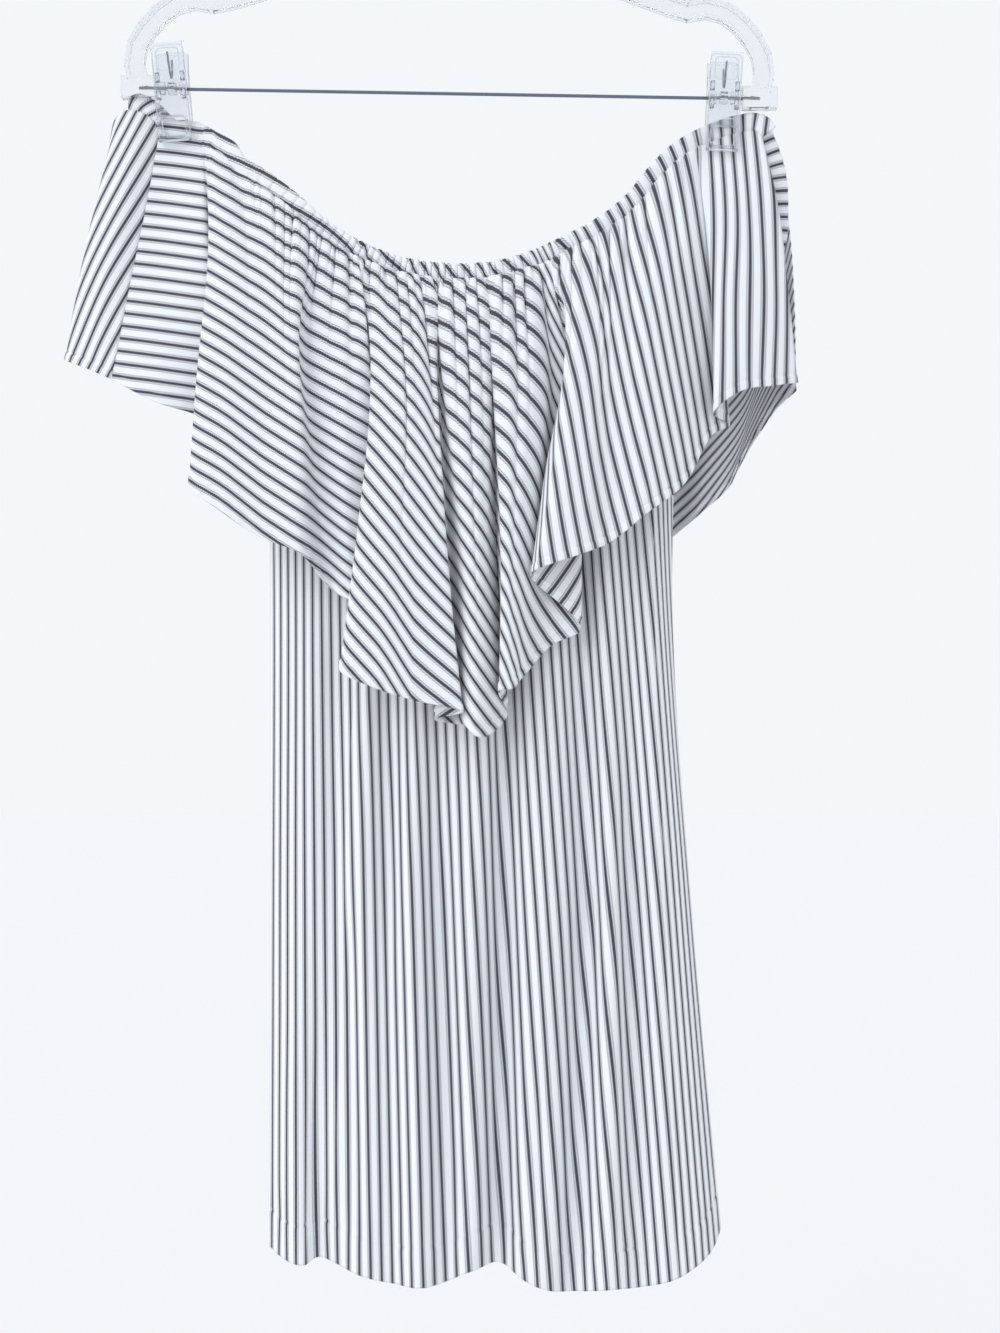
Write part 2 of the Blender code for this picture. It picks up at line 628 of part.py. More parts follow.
def hook_path():
    """Stem up from the hanger's neck, then round over the hold point at the frame's origin."""
    centre = HOOK_WIRE - HOOK_RADIUS
    start_angle, end_angle = math.radians(-62.0), math.radians(205.0)
    points = [(0.0, 0.0, -NECK_DROP + 2.0), (0.0, 0.0, HOOK_STEM_TOP - 12.0), (0.0, 0.0, HOOK_STEM_TOP)]
    first = Vector((HOOK_RADIUS * math.cos(start_angle), 0.0, centre + HOOK_RADIUS * math.sin(start_angle)))
    heading = Vector((-math.sin(start_angle), 0.0, math.cos(start_angle)))
    begin = Vector(points[-1])
    for k in range(1, 6):
        s = k / 6
        pull_start = begin + Vector((0.0, 0.0, 8.0))
        pull_end = first - heading * 8.0
        points.append(
            (1 - s) ** 3 * begin + 3 * (1 - s) ** 2 * s * pull_start
            + 3 * (1 - s) * s**2 * pull_end + s**3 * first)
    for k in range(19):
        angle = start_angle + (end_angle - start_angle) * k / 18
        points.append((HOOK_RADIUS * math.cos(angle), 0.0, centre + HOOK_RADIUS * math.sin(angle)))
    return [Vector(point) * MM for point in points]


def rod_ends():
    return (Vector((ROD_LEFT[0], 0.0, -ROD_LEFT[1])), Vector((ROD_RIGHT[0], 0.0, -ROD_RIGHT[1])))


def rod_point(across):
    left, right = rod_ends()
    return left.lerp(right, (across - left.x) / (right.x - left.x))


def make_hanger(plastic, steel):
    half_high, half_wide, half_web = ARM_HEIGHT / 2, ARM_WIDTH / 2, ARM_WEB / 2
    inner = half_high - ARM_FLANGE
    quarter = [(half_wide, half_high), (half_wide, inner), (half_web, inner)]
    section = quarter + [(w, -h) for w, h in quarter[::-1]]
    section += [(-w, -h) for w, h in quarter] + [(-w, h) for w, h in quarter[::-1]]
    arm_path = np.array([(x * MM, 0.0, -drop * MM) for x, drop in even_path(ARM_LINE, 41)])
    frame = sweep("hanger_frame", arm_path, section, plastic)
    left, right = rod_ends()
    bore = ROD_RADIUS + BORE_CLEARANCE
    for name, end in (("left", left), ("right", right)):
        centre = end + Vector((0.0, 0.0, 0.5))
        combine(frame, box("block_guide_" + name, centre, BLOCK_SIZE, plastic), "UNION")
    boss_top = (0.0, 0.0, -NECK_DROP + BOSS_HEIGHT / 2)
    boss_foot = (0.0, 0.0, -NECK_DROP - BOSS_HEIGHT / 2)
    combine(frame, bar("boss_guide", boss_foot, boss_top, BOSS_RADIUS, plastic), "UNION")
    combine(frame, bar("rod_bore_guide", left, right, bore, plastic), "DIFFERENCE")
    stem_bore = bar("stem_bore_guide", (0.0, 0.0, -NECK_DROP + 1.6), (0.0, 0.0, -NECK_DROP + 20.0),
                    HOOK_WIRE + BORE_CLEARANCE, plastic)
    combine(frame, stem_bore, "DIFFERENCE")
    along = (right - left).normalized()
    bar("hanger_rod", left + along * 0.3, right - along * 0.3, ROD_RADIUS, steel, 12)
    round_wire("hanger_hook", hook_path(), HOOK_WIRE, steel)


def jaw_plate(name, side, material):
    """Bent plate of one jaw, side -1 in front of the cloth and 1 behind it."""
    inner = [Vector((0.0, forward, height)) for forward, height in JAW_LINE]
    outer = []
    for i, place in enumerate(inner):
        before, after = inner[max(i - 1, 0)], inner[min(i + 1, len(inner) - 1)]
        along = (after - before).normalized()
        outer.append(place + Vector((0.0, -along.z, along.y)) * JAW_THICK)
    outline = inner + outer[::-1]
    bm = bmesh.new()
    rings = []
    for x in (-JAW_WIDTH / 2, JAW_WIDTH / 2):
        rings.append([bm.verts.new((x * MM, side * p.y * MM, p.z * MM)) for p in outline])
    count, half = len(outline), len(inner)
    for k in range(count):
        n = (k + 1) % count
        bm.faces.new((rings[0][k], rings[0][n], rings[1][n], rings[1][k]))
    for ring in rings:
        for k in range(half - 1):
            bm.faces.new((ring[k], ring[k + 1], ring[count - 2 - k], ring[count - 1 - k]))
    bmesh.ops.recalc_face_normals(bm, faces=bm.faces[:])
    return finish_object(name, bm, material)


def make_clip(label, across, lean, plastic, steel):
    """Two jaws that turn on the rod, and the wire spring between their levers."""
    left, right = rod_ends()
    tilt = math.atan2(right.z - left.z, right.x - left.x)
    middle = Matrix.Translation(rod_point(across) * MM)
    on_rod = middle @ Matrix.Rotation(-tilt, 4, "Y")
    leaning = middle @ Matrix.Rotation(math.radians(-lean), 4, "Y")
    bore = ROD_RADIUS + BORE_CLEARANCE
    for side, jaw, barrels in ((-1, "front", (0.0,)), (1, "back", (-7.5, 7.5))):
        name = "clip_" + label + "_" + jaw
        plate = jaw_plate(name, side, plastic)
        plate.matrix_world = leaning
        for k, x in enumerate(barrels):
            half = BARREL_LENGTH / 2
            tag = name + "_guide_" + str(k)
            barrel = bar(tag + "_barrel", (x - half, 0, 0), (x + half, 0, 0), BARREL_RADIUS, plastic)
            lug = box(tag + "_lug", (x, side * 3.9, 0.0), (BARREL_LENGTH - 0.4, 3.4, 5.0), plastic)
            for guide in (barrel, lug):
                guide.matrix_world = on_rod @ guide.matrix_world
                combine(plate, guide, "UNION")
        low, high = JAW_WINDOW
        window = box(name + "_guide_window", (0.0, side * 5.0, (low + high) / 2),
                     (JAW_WIDTH - 2 * JAW_RIM, 14.0, high - low), plastic)
        window.matrix_world = leaning
        hole = bar(name + "_guide_bore", (-20, 0, 0), (20, 0, 0), bore, plastic)
        hole.matrix_world = on_rod @ hole.matrix_world
        combine(plate, window, "DIFFERENCE")
        combine(plate, hole, "DIFFERENCE")
    spring = [Vector((0.0, y * MM, z * MM)) for y, z in even_path(SPRING_LINE, 13)]
    round_wire("clip_" + label + "_spring", spring, SPRING_WIRE, steel).matrix_world = leaning


def main():
    clear_scene()
    cloth = make_material("striped_cotton", (0.80, 0.82, 0.86), 0.85)
    plastic = make_material("clear_plastic", (0.90, 0.93, 0.95), 0.12, alpha=0.35)
    steel = make_material("steel", (0.62, 0.62, 0.63), 0.25, metallic=1.0)
    make_cloth(cloth)
    make_hanger(plastic, steel)
    for label, across, lean in CLIPS:
        make_clip(label, across, lean, plastic, steel)


main()
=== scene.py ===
import math

import bmesh
import bpy
import numpy as np
from mathutils import Matrix, Vector


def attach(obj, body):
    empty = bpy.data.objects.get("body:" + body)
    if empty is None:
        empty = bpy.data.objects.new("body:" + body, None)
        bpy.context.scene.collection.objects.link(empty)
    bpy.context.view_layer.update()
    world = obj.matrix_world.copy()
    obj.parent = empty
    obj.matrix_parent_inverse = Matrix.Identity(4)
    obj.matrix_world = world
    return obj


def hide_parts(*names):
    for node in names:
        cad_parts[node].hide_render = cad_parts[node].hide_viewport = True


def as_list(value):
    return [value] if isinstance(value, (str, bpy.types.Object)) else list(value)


MM = 0.001

# the view that the sizes were read from
VIEW_DISTANCE = 1100.0
VIEW_ACROSS = 34.0
VIEW_DROP = 585.0
PIXEL = 0.6626
PHOTO_HEIGHT = 1333
SENSOR = 24.0

# cloth
SHELL = 0.7
PATH_POINTS = 900
NECK_PLACES = 2000
CASING_HEIGHT = 11.5
CASING_THICK = 2.8
SIDE_SEAM_ACROSS = -192.5
NECK_FORWARD = 24.0
CLIP_REACH = 165.0
TUCK = 2.0
FLOUNCE_SIDE_DEPTH = 8.0
FLOUNCE_MID_DEPTH = 42.0
FLOUNCE_REACH = 240.0
FOLD_FULLNESS = 1.6
BODY_HALF_DEPTHS = (0.0, 22.0, 25.0, 27.0)
BODY_CLOSING_FRONT = 100.0
BODY_CLOSING_BACK = 26.0
NECK_REACH = 14.0
NECK_FADE = 3
NECK_EDGE_POINTS = 240
BODY_ROUNDNESS = 3
BODY_BEHIND_NECK = (1.2, -1.5)

# gathers that run together: how many in one, height, start below the casing, reach, lean of the sides
GATHERS = [
    (1.0, 1.7, 1.0, 24.0, 0.4),
    (1.8, 3.2, 2.0, 46.0, 0.8),
    (3.7, 3.2, 14.0, 100.0, 1.6),
]
GATHER_SHARPNESS = 3.6
# how far the gathers stand in front of the cloth between them, as a share of their height
GATHER_LIFT = 0.8
# gathers fade where the cloth turns away from the front: slope and offset
GATHER_FACING = (-2.0, -0.3)
# unevenness of the gathers' places: share of a gather, speed along the neck
GATHER_WANDER = (0.20, 1.9)
# unevenness of their heights: mean, share, speed, seed
GATHER_HEIGHTS = (0.85, 0.35, 2.3, 1.7)
# unevenness of their lengths: share, speed, seed
GATHER_LENGTHS = (0.75, 1.3, 5.0)
# how sharply gathers begin below the casing, and how sharply they end
GATHER_EDGES = (1.5, 1.6)
# waves that make a wandering value: speed along the place, share of the seed
WANDER_WAVES = [(1.0, 1.0), (2.37, 1.7), (0.43, 2.9)]

# widest gap between two columns of points: under the gathers, at a plain neck, at the hem
COLUMN_GAPS = (0.66, 3.5, 3.2)
LEAST_COLUMNS = 4
LEAST_STRENGTH = 0.05

# how the flounces were cut: fold line, degrees between column and stripes, flat cloth for cloth seen
FRONT_CUT = [
    ("side_seam", 93, 0.95), ("side_edge", 88, 0.95), ("hidden_1", 76, 0.9), ("a_fold", 66, 0.9),
    ("a_left", 62, 0.88), ("a_middle", 59, 0.88), ("a_inner", 57, 0.95), ("b_fold", 51, 1.15),
    ("b_middle", 42, 1.12), ("hidden_3", 38, 1.05), ("valley_3", 37, 1.02), ("d_middle", 34, 1.08),
    ("d_corner", 31, 1.1), ("under_left", 25, 1.05), ("e_fold", 18, 1.0), ("e_left", 14, 0.98),
    ("e_middle", 12, 0.98), ("e_inner", 4, 1.0), ("f_fold", -3, 1.02), ("side_seam_r", -7, 1.02),
]
BACK_CUT = [
    ("side_seam", -20, 1.26), ("left_edge", -16, 1.26), ("left_turn", -10, 1.26), ("left_low", 2, 1.26),
    ("back_3", 30, 1.2), ("fold_5", 42, 1.2), ("back_7", 66, 1.2), ("back_9", 80, 1.2),
    ("right_back", 88, 1.2), ("right_edge", 90, 1.2),
]
# share of the width seen in a row's flat width, and least share of the neck's own width
CUT_FLAT = 0.6
CUT_NECK = 0.7
CUT_ROW_STEP = 5

# drop at which the front cut is measured, and how much the columns fan out beside the middle
CUT_DROP = 330.0
CUT_FAN = 15.0
CUT_FAN_REACH = 200.0

# stripes from side to side of the body, how far its folds draw them together, and where they are read
BODY_STRIPES = 45.0
BODY_DRAW = 0.45
BODY_SKIRT_SHARE = 0.45

# ticking stripe: repeat, dark line, dotted lines beside it
STRIPE_REPEAT = 8.5
STRIPE_CORE = 1.95
STRIPE_SIDE = 1.85
STRIPE_SIDE_WIDTH = 0.9
STRIPE_EDGE = 0.3
HAZE_EDGE = 0.5
CORE_INK = 0.95
SIDE_INK = 0.85
HAZE_INK = 0.2
# ticks of the twill along a stripe: step, slant, how far they widen the dark line, height as a bump
TWILL_STEP = 1.35
TWILL_SLANT = 1.1
TWILL_WOBBLE = 0.2
TWILL_BUMP = 0.15
TWILL_BUMP_HEIGHT = 0.2
CLOTH_ROUGHNESS = 0.9
CLOTH_SHEEN = (0.12, 0.5)
CLOTH_GROUND = (0.825, 0.842, 0.87)
CLOTH_INK = (0.012, 0.015, 0.038)

# the cloth as it was cut, in metres: node, width, length, area, how it is held, what it hangs from
SHEETS = [
    ("flounce_front", 0.71, 0.71, 0.205, "gathered", ["neck_casing_front"]),
    ("flounce_back", 0.68, 0.46, 0.115, "gathered", ["neck_casing_back"]),
    ("body_front", 0.385, 0.735, 0.22, "hung", ["neck_casing_front"]),
    ("body_back", 0.355, 0.625, 0.19, "hung", ["neck_casing_back"]),
    ("neck_casing_front", 0.60, 0.027, None, "gathered", ["clip_left_front", "clip_right_front"]),
    ("neck_casing_back", 0.68, 0.027, None, "gathered", ["neck_casing_front"]),
]

# light: colours behind the garment, in front of it on both sides, and of the floor; the lamp
BACKDROP = (0.90, 0.93, 0.955)
FRONT_LEFT_LIGHT = (0.90, 0.93, 0.97)
FRONT_RIGHT_LIGHT = (0.71, 0.74, 0.78)
FLOOR_COLOUR = (0.88, 0.88, 0.88)
SUN = 1.0
SUN_SPREAD = math.radians(50.0)
SUN_PLACE = (-1.8, -1.9, 0.9)
SUN_TARGET = (0.0, 0.0, -0.6)
SUN_COLOUR = (0.975, 0.985, 1.0)
# how the world's light changes from front to back and from left to right: slope, offset
WORLD_BACK = (2.2, 0.75)
WORLD_LEFT = (-0.5, 0.5)
FLOOR_HALF = 12.0
FLOOR_HEIGHT = -1.75

# hems: width of the turned strip, how far it stands out, depth of the stitched groove
FLOUNCE_HEM = (6.0, 0.5, 0.6)
BODY_HEM = (25.0, 0.3, 0.6)
HEM_EDGE = 0.7
HEM_GROOVE_WIDTH = 0.9
# puckers along a hem: height, step along it, how far above it they reach, as a share of it and more
PUCKER = 0.7
PUCKER_STEP = 4.1
PUCKER_REACH = (0.5, 4.0)
GROOVE_WANDER = 0.6

# share of a line's length at its places, and how far it has moved from the neck's depth there
FLOUNCE_LEVELS = (0.0, 0.30, 0.65, 1.0)
BODY_LEVELS = (0.0, 0.25, 0.62, 1.0)
FLOUNCE_SETTLE = (0.0, 0.60, 0.90, 1.0)
FLOUNCE_SETTLE_CLIPPED = (0.0, 0.25, 0.60, 1.0)

# middle line of the front neck casing: across, drop
FRONT_NECK = [
    (-212, 216), (-204, 215.5), (-196, 219), (-181, 229), (-168, 230), (-157, 236), (-146, 242),
    (-138, 253), (-125, 261), (-105, 276), (-85, 294), (-59, 310), (-32, 320), (-6, 324),
    (21, 324), (47, 319), (74, 308), (100, 294), (120, 279), (140, 255), (153, 243), (168, 234),
    (180, 229), (191, 226), (202, 224),
]

# middle line of the back neck casing: across, drop, depth
BACK_NECK = [
    (209, 233, 6), (217, 256, 8), (219, 279, 10), (218, 301, 12), (211, 322, 14),
    (190, 344, 18), (146, 362, 22), (74, 372, 26), (0, 375, 27), (-72, 372, 26), (-142, 363, 22),
    (-188, 342, 18), (-209, 317, 14), (-217, 292, 12), (-217, 263, 9), (-214, 236, 6.5),
]

# the casing's turned ends, past the solids' own
FRONT_NECK_END = [(208, 226), (212, 231)]
BACK_NECK_START = [(206, 225, 3)]
BACK_NECK_END = [(-213, 222, 3)]
BACK_GATHER = 8.6
# casing: stations along it in front and behind, points round it, height and depth of its puffs
FRONT_CASING_STATIONS = 1500
BACK_CASING_STATIONS = 1100
CASING_SECTION = 16
CASING_RISE = 0.8
CASING_PUFF = 1.3
CASING_ROUNDNESS = 0.7
CASING_SHELL = 0.5
CASING_LEAST_GATHER = 0.15
BACK_CASING_GATHER = 0.4
# how far the casing's stripes lean from straight across it towards the flounce's own
CASING_SLANT = 0.5
# the front casing's left end: across, share of its height, and how its stripes lean there
CASING_END_ACROSS = (-212, -205, -198, -186)
CASING_END_HEIGHT = (1.25, 1.6, 1.4, 1.0)
CASING_END_LEAN = 0.6
# height towards which the back casing's upper side faces
BACK_CASING_AIM = -250.0

# front flounce's folds: name, across at neck, upper, lower, hem, drop of hem, forward at the last three
FLOUNCE_FRONT = [
    ("side_seam",   -191, -200, -212, -223,  395,    0,    0,    0),
    ("side_flat",   -178, -184, -189, -194,  410,    1,    1,    1),
    ("side_edge",   -165, -164, -162, -164,  420,   -1,   -4,   -5),
    ("hidden_1",    -162, -158, -146, -141,  439,   -5,   -8,   -9),
    ("a_fold",      -158, -158, -166, -172,  463,    5,    8,    9),
    ("a_left",      -150, -145, -148, -150,  483,    6,    9,   10),
    ("a_middle",    -124, -121, -123, -124,  500,    4,    6,    7),
    ("a_right",     -100, -103,  -99,  -99,  510,    3,    5,    6),
    ("valley_1",     -83,  -93,  -87,  -78,  534,   -3,   -5,   -6),
    ("a_inner",      -69,  -70,  -69,  -64,  542,   -1,   -2,   -3),
    ("hidden_2",     -58,  -51,  -42,  -39,  567,   -5,   -9,  -10),
    ("b_fold",       -51,  -50,  -60,  -72,  587,    4,    8,    9),
    ("b_left",       -41,  -35,  -42,  -47,  600,    5,   10,   11),
    ("b_middle",     -28,  -22,  -22,  -25,  607,    4,    8,    9),
    ("b_right",      -16,   -8,   -1,    9,  615,    2,    6,    7),
    ("b_under",      -12,   -8,   -5,  -10,  620,   -2,   -2,    0),
    ("hidden_3",      -8,   -5,    1,    4,  623,   -5,   -7,   -8),
    ("c_left",        -1,    3,   10,   11,  624,    2,    4,    5),
    ("c_point",        9,   13,   17,   20,  632,    3,    6,    8),
    ("c_right",       21,   25,   26,   32,  626,    1,    2,    0),
    ("valley_3",      27,   30,   32,   39,  615,   -5,   -8,   -8),
    ("d_left",        32,   34,   36,   34,  601,    2,    4,    5),
    ("d_middle",      42,   44,   42,   41,  600,    3,    5,    6),
    ("d_right",       54,   60,   53,   48,  593,    1,    2,    2),
    ("d_inner",       61,   70,   69,   68,  571,   -5,   -9,   -8),
    ("d_corner",      67,   81,   87,   88,  560,   -5,   -8,   -7),
    ("under_left",    72,   79,   65,   55,  526,   -1,    0,    1),
    ("e_fold",        80,   78,   70,   58,  521,    5,    7,    8),
    ("e_left",        93,   97,   93,   89,  510,    5,    8,    9),
    ("e_crease",     108,  108,  107,  108,  502,    2,    4,    5),
    ("e_middle",     124,  127,  129,  132,  483,    4,    6,    7),
    ("e_right",      141,  145,  150,  156,  464,    3,    4,    3),
    ("e_inner",      155,  161,  168,  174,  432,   -2,   -4,   -4),
    ("hidden_5",     162,  170,  181,  186,  425,   -6,   -9,   -9),
    ("f_fold",       167,  172,  175,  176,  416,    2,    3,    4),
    ("f_left",       180,  187,  190,  195,  402,    2,    4,    4),
    ("f_right",      194,  203,  211,  215,  399,    1,    3,    3),
    ("side_seam_r",  206,  218,  225,  231,  397,    0,    0,    0),
]

# back flounce's: name, across and drop at neck, across at upper, lower, hem, drop of hem, depth at all four
FLOUNCE_BACK = [
    ("left_front",  -203,  218, -215, -229, -239,  388,   -3,   -9,  -10,   -9),
    ("left_edge",   -217,  218, -231, -244, -254,  382,   -1,   -1,    0,    1),
    ("left_turn",   -224,  232, -227, -232, -238,  385,   10,   11,   12,   13),
    ("left_back",   -220,  269, -214, -213, -210,  394,   15,   18,   21,   23),
    ("left_low",    -209,  320, -199, -190, -184,  403,   20,   24,   29,   33),
    ("fold_1",      -196,  343, -181, -172, -168,  411,   22,   31,   41,   47),
    ("back_1",      -176,  356, -162, -150, -138,  444,   24,   27,   30,   33),
    ("fold_2",      -152,  367, -141, -132, -126,  480,   26,   37,   48,   54),
    ("back_2",      -126,  374, -115, -104,  -94,  505,   27,   31,   34,   37),
    ("fold_3",       -98,  378,  -92,  -86,  -80,  528,   29,   40,   50,   57),
    ("back_3",       -70,  381,  -63,  -55,  -46,  548,   29,   32,   35,   37),
    ("fold_4",       -42,  382,  -38,  -35,  -32,  569,   30,   42,   52,   60),
    ("back_4",       -14,  383,  -10,   -5,    2,  582,   30,   33,   36,   38),
    ("fold_5",        12,  383,   13,   14,   17,  586,   30,   41,   52,   59),
    ("back_5",        38,  382,   38,   40,   44,  573,   30,   33,   36,   38),
    ("fold_6",        66,  381,   64,   62,   60,  562,   29,   40,   50,   57),
    ("back_6",        94,  378,   91,   88,   88,  546,   28,   31,   34,   37),
    ("fold_7",       122,  375,  116,  110,  105,  532,   27,   38,   48,   55),
    ("back_7",       148,  369,  140,  134,  130,  515,   26,   30,   34,   37),
    ("fold_8",       170,  362,  161,  152,  145,  502,   25,   33,   41,   47),
    ("back_8",       191,  352,  181,  171,  165,  485,   23,   25,   28,   31),
    ("back_9",       212,  327,  204,  195,  185,  467,   21,   23,   24,   26),
    ("right_turn",    220,  296,  214,  207,  196,  446,   19,   21,   21,   21),
    ("right_back",    220,  262,  221,  221,  214,  418,   17,   18,   15,    9),
    ("right_edge",    215,  242,  225,  229,  230,  402,   12,   13,    4,   -6),
]

# body front's: name, across and drop at top, across at chest, skirt, hem, drop of hem, forward at those
BODY_FRONT = [
    ("side_left",   -119,  410, -118, -118, -119,  968,    0,    0,    0),
    ("armhole_1",   -123,  369, -110, -110, -109,  977,    2,    2,    3),
    ("armhole_2",   -130,  319,  -96,  -97,  -96,  982,    2,    3,    6),
    ("armhole_3",   -136,  284,  -74,  -76,  -85,  976,   -2,   -3,   -5),
    ("neck_left",   -131,  266,  -59,  -58,  -58,  989,    2,    3,    4),
    ("valley_b",    -107,  281,  -40,  -40,  -35,  994,   -2,   -3,    0),
    ("crest_c",      -69,  312,  -23,  -24,  -19,  997,    2,    3,    7),
    ("valley_c",     -32,  327,   -7,   -5,   -1,  992,   -3,   -6,   -3),
    ("crest_d",        1,  331,   13,   15,   14,  986,    2,    3,    1),
    ("valley_d",      34,  329,   37,   37,   32,  980,   -5,   -9,  -10),
    ("crest_e",       60,  320,   60,   62,   60,  997,    2,    4,    6),
    ("valley_e",      83,  310,   87,   91,   83,  999,   -3,   -6,   -4),
    ("crest_f",      103,  299,  104,  108,  107,  998,    2,    4,    6),
    ("valley_f",     127,  281,  121,  122,  127,  996,   -1,   -4,   -2),
    ("neck_right",   150,  256,  135,  138,  148,  992,    2,    2,    3),
    ("armhole_4",    156,  288,  140,  148,  162,  984,    1,    1,    3),
    ("armhole_5",    154,  350,  144,  156,  174,  972,    0,    1,    1),
    ("side_right",   150,  410,  148,  161,  180,  957,    0,    0,    0),
]

# body back's, with the same columns
BODY_BACK = [
    ("side_left",   -119,  410, -118, -118, -119,  968,    0,    0,    0),
    ("armhole_1",   -127,  396, -104, -104, -101,  968,    2,    3,    3),
    ("neck_left",   -130,  374,  -80,  -82,  -80,  967,    0,   -3,   -4),
    ("crest_a",      -95,  378,  -55,  -56,  -57,  972,    3,    4,    5),
    ("valley_a",     -50,  381,  -30,  -30,  -32,  975,   -2,   -4,   -5),
    ("crest_b",        0,  382,    2,    4,    6,  973,    3,    5,    6),
    ("valley_b",      45,  381,   35,   38,   42,  968,   -1,   -4,   -5),
    ("crest_c",       90,  378,   68,   74,   82,  977,    3,    4,    5),
    ("valley_c",     130,  373,   98,  106,  116,  977,   -2,   -4,   -4),
    ("armhole_2",    142,  380,  124,  132,  146,  971,    2,    3,    3),
    ("side_right",   150,  410,  148,  161,  180,  957,    0,    0,    0),
]

# share of the cloth's length at each row of points: denser under the neck and at the hem
FLOUNCE_ROWS = np.concatenate(
    [np.linspace(0.0, 0.17, 24), np.linspace(0.17, 0.955, 33)[1:], np.linspace(0.955, 1.0, 12)[1:]])
BODY_ROWS = np.concatenate([np.linspace(0.0, 0.93, 88), np.linspace(0.93, 1.0, 28)[1:]])

# soft troughs on the body: across at top and end, drop at top and end, half width, depth
FRONT_CREASES = [
    (37, 35, 520, 985, 7.0, 3.6),
    (84, 92, 500, 760, 7.5, 3.4),
    (92, 83, 740, 985, 8.5, 3.6),
    (-7, 1, 700, 940, 7.0, 3.0),
    (-42, -39, 600, 760, 6.0, 2.6),
    (-66, -60, 760, 960, 7.0, 2.4),
    (-91, -92, 850, 975, 6.5, 3.0),
    (119, 124, 690, 950, 8.0, 3.0),
    (-75, -76, 560, 740, 6.0, 2.2),
    (12, 14, 560, 700, 6.0, 2.0),
    (62, 60, 860, 990, 6.0, 2.4),
]
BACK_CREASES = [
    (-84, -88, 560, 930, 8.0, 3.0),
    (-44, -40, 480, 760, 7.0, 3.2),
    (-12, -20, 720, 970, 7.5, 3.0),
    (22, 26, 520, 900, 7.0, 3.4),
    (58, 66, 640, 975, 8.0, 3.0),
    (96, 110, 560, 940, 8.0, 2.8),
    (-64, -62, 860, 970, 6.0, 2.2),
]
BODY_GAP_COLUMNS = 16
# troughs: how softly they end, the low ridges beside them: distance in half widths, share of depth
CREASE_END = 14.0
CREASE_RIDGE = (2.1, 0.35)

# hanger, as in the solids: the rod's ends, the arms' line, the clips' place and lean
ROD_LEFT = (-205.0, 202.0)
ROD_RIGHT = (206.0, 209.0)
ARM_LINE = [
    (-205, 199), (-208, 184), (-205, 171), (-198, 161), (-188, 151), (-176, 144), (-165, 143),
    (-156, 145), (-142, 142), (-99, 128), (-46, 109), (-13, 97), (0, 95), (14, 98), (47, 112),
    (100, 130), (143, 146), (158, 151), (168, 149), (178, 150), (190, 157), (199, 167), (206, 178),
    (209, 191), (206, 206),
]
CLIPS = [("left", -183.0, 5.0), ("right", 182.0, -2.8)]

# outlines on a clip, seen from the front: half width, lowest, highest, corner, forward, wire
CLIP_RIMS = [
    (10.3, -37.0, 26.5, 3.4, 7.6, 0.4),
    (7.8, -33.5, -19.5, 3.4, 5.2, 0.5),
    (7.4, 9.5, 24.0, 3.0, 9.4, 0.35),
]
# ridges across a clip beside the rod: across, height, length, forward, radius
CLIP_LOBES = [
    (-8.2, 5.8, 6.0, 6.6, 1.5), (8.2, 5.8, 6.0, 6.6, 1.5),
    (-8.2, -6.2, 6.0, 6.6, 1.5), (8.2, -6.2, 6.0, 6.6, 1.5),
]
# small bumps along the arms' outer edge: spacing, radius, distance from the arm's middle, first
ARM_BUMPS = (4.4, 0.6, 6.6, 150.0)
ARM_POINTS = 400
PLASTIC_IOR = 1.49

# how closely the neck is gathered: across, millimetres a gather takes, strength
GATHER_SPACING = [
    (-215, 9.0, 0.0), (-165, 9.0, 0.0), (-140, 8.5, 0.15), (-115, 7.0, 0.55), (-90, 5.2, 0.8),
    (-65, 4.4, 1.0), (0, 4.2, 1.0), (70, 4.6, 1.0), (95, 6.0, 0.75), (125, 7.0, 0.6),
    (150, 7.5, 0.5), (163, 8.0, 0.2), (172, 8.0, 0.0), (215, 9.0, 0.0),
]


def spline(points, knots, places):
    """Smooth curve through points of any dimension, read at places on its knots."""
    points, knots = np.asarray(points, dtype=float), np.asarray(knots, dtype=float)
    steps = np.diff(knots)
    slopes = np.diff(points, axis=0) / steps.reshape(-1, *([1] * (points.ndim - 1)))
    tangents = np.empty_like(points)
    tangents[0] = slopes[0]
    tangents[-1] = slopes[-1]
    for i in range(1, len(points) - 1):
        before, after = steps[i - 1], steps[i]
        tangents[i] = (slopes[i - 1] * after + slopes[i] * before) / (before + after)
    result = []
    for place in places:
        i = int(np.clip(np.searchsorted(knots, place, side="right") - 1, 0, len(steps) - 1))
        h = steps[i]
        s = (place - knots[i]) / h
        result.append(
            (2 * s**3 - 3 * s**2 + 1) * points[i] + (s**3 - 2 * s**2 + s) * h * tangents[i]
            + (3 * s**2 - 2 * s**3) * points[i + 1] + (s**3 - s**2) * h * tangents[i + 1])
    return np.array(result)


def chord_knots(points):
    """Knots spaced by the square root of the distance between the points."""
    gaps = np.linalg.norm(np.diff(np.asarray(points, dtype=float), axis=0), axis=1)
    return np.concatenate([[0.0], np.cumsum(np.sqrt(gaps))])


def lengths_along(path):
    """Length from the path's start to each of its points."""
    return np.concatenate([[0.0], np.cumsum(np.linalg.norm(np.diff(path, axis=0), axis=1))])


def even_path(points, stations):
    """The smooth curve through the points, read at evenly spaced stations."""
    knots = chord_knots(points)
    fine = spline(points, knots, np.linspace(0.0, knots[-1], PATH_POINTS))
    length = lengths_along(fine)
    places = np.linspace(0.0, length[-1], stations)
    return np.stack([np.interp(places, length, fine[:, k]) for k in range(fine.shape[1])], axis=1)


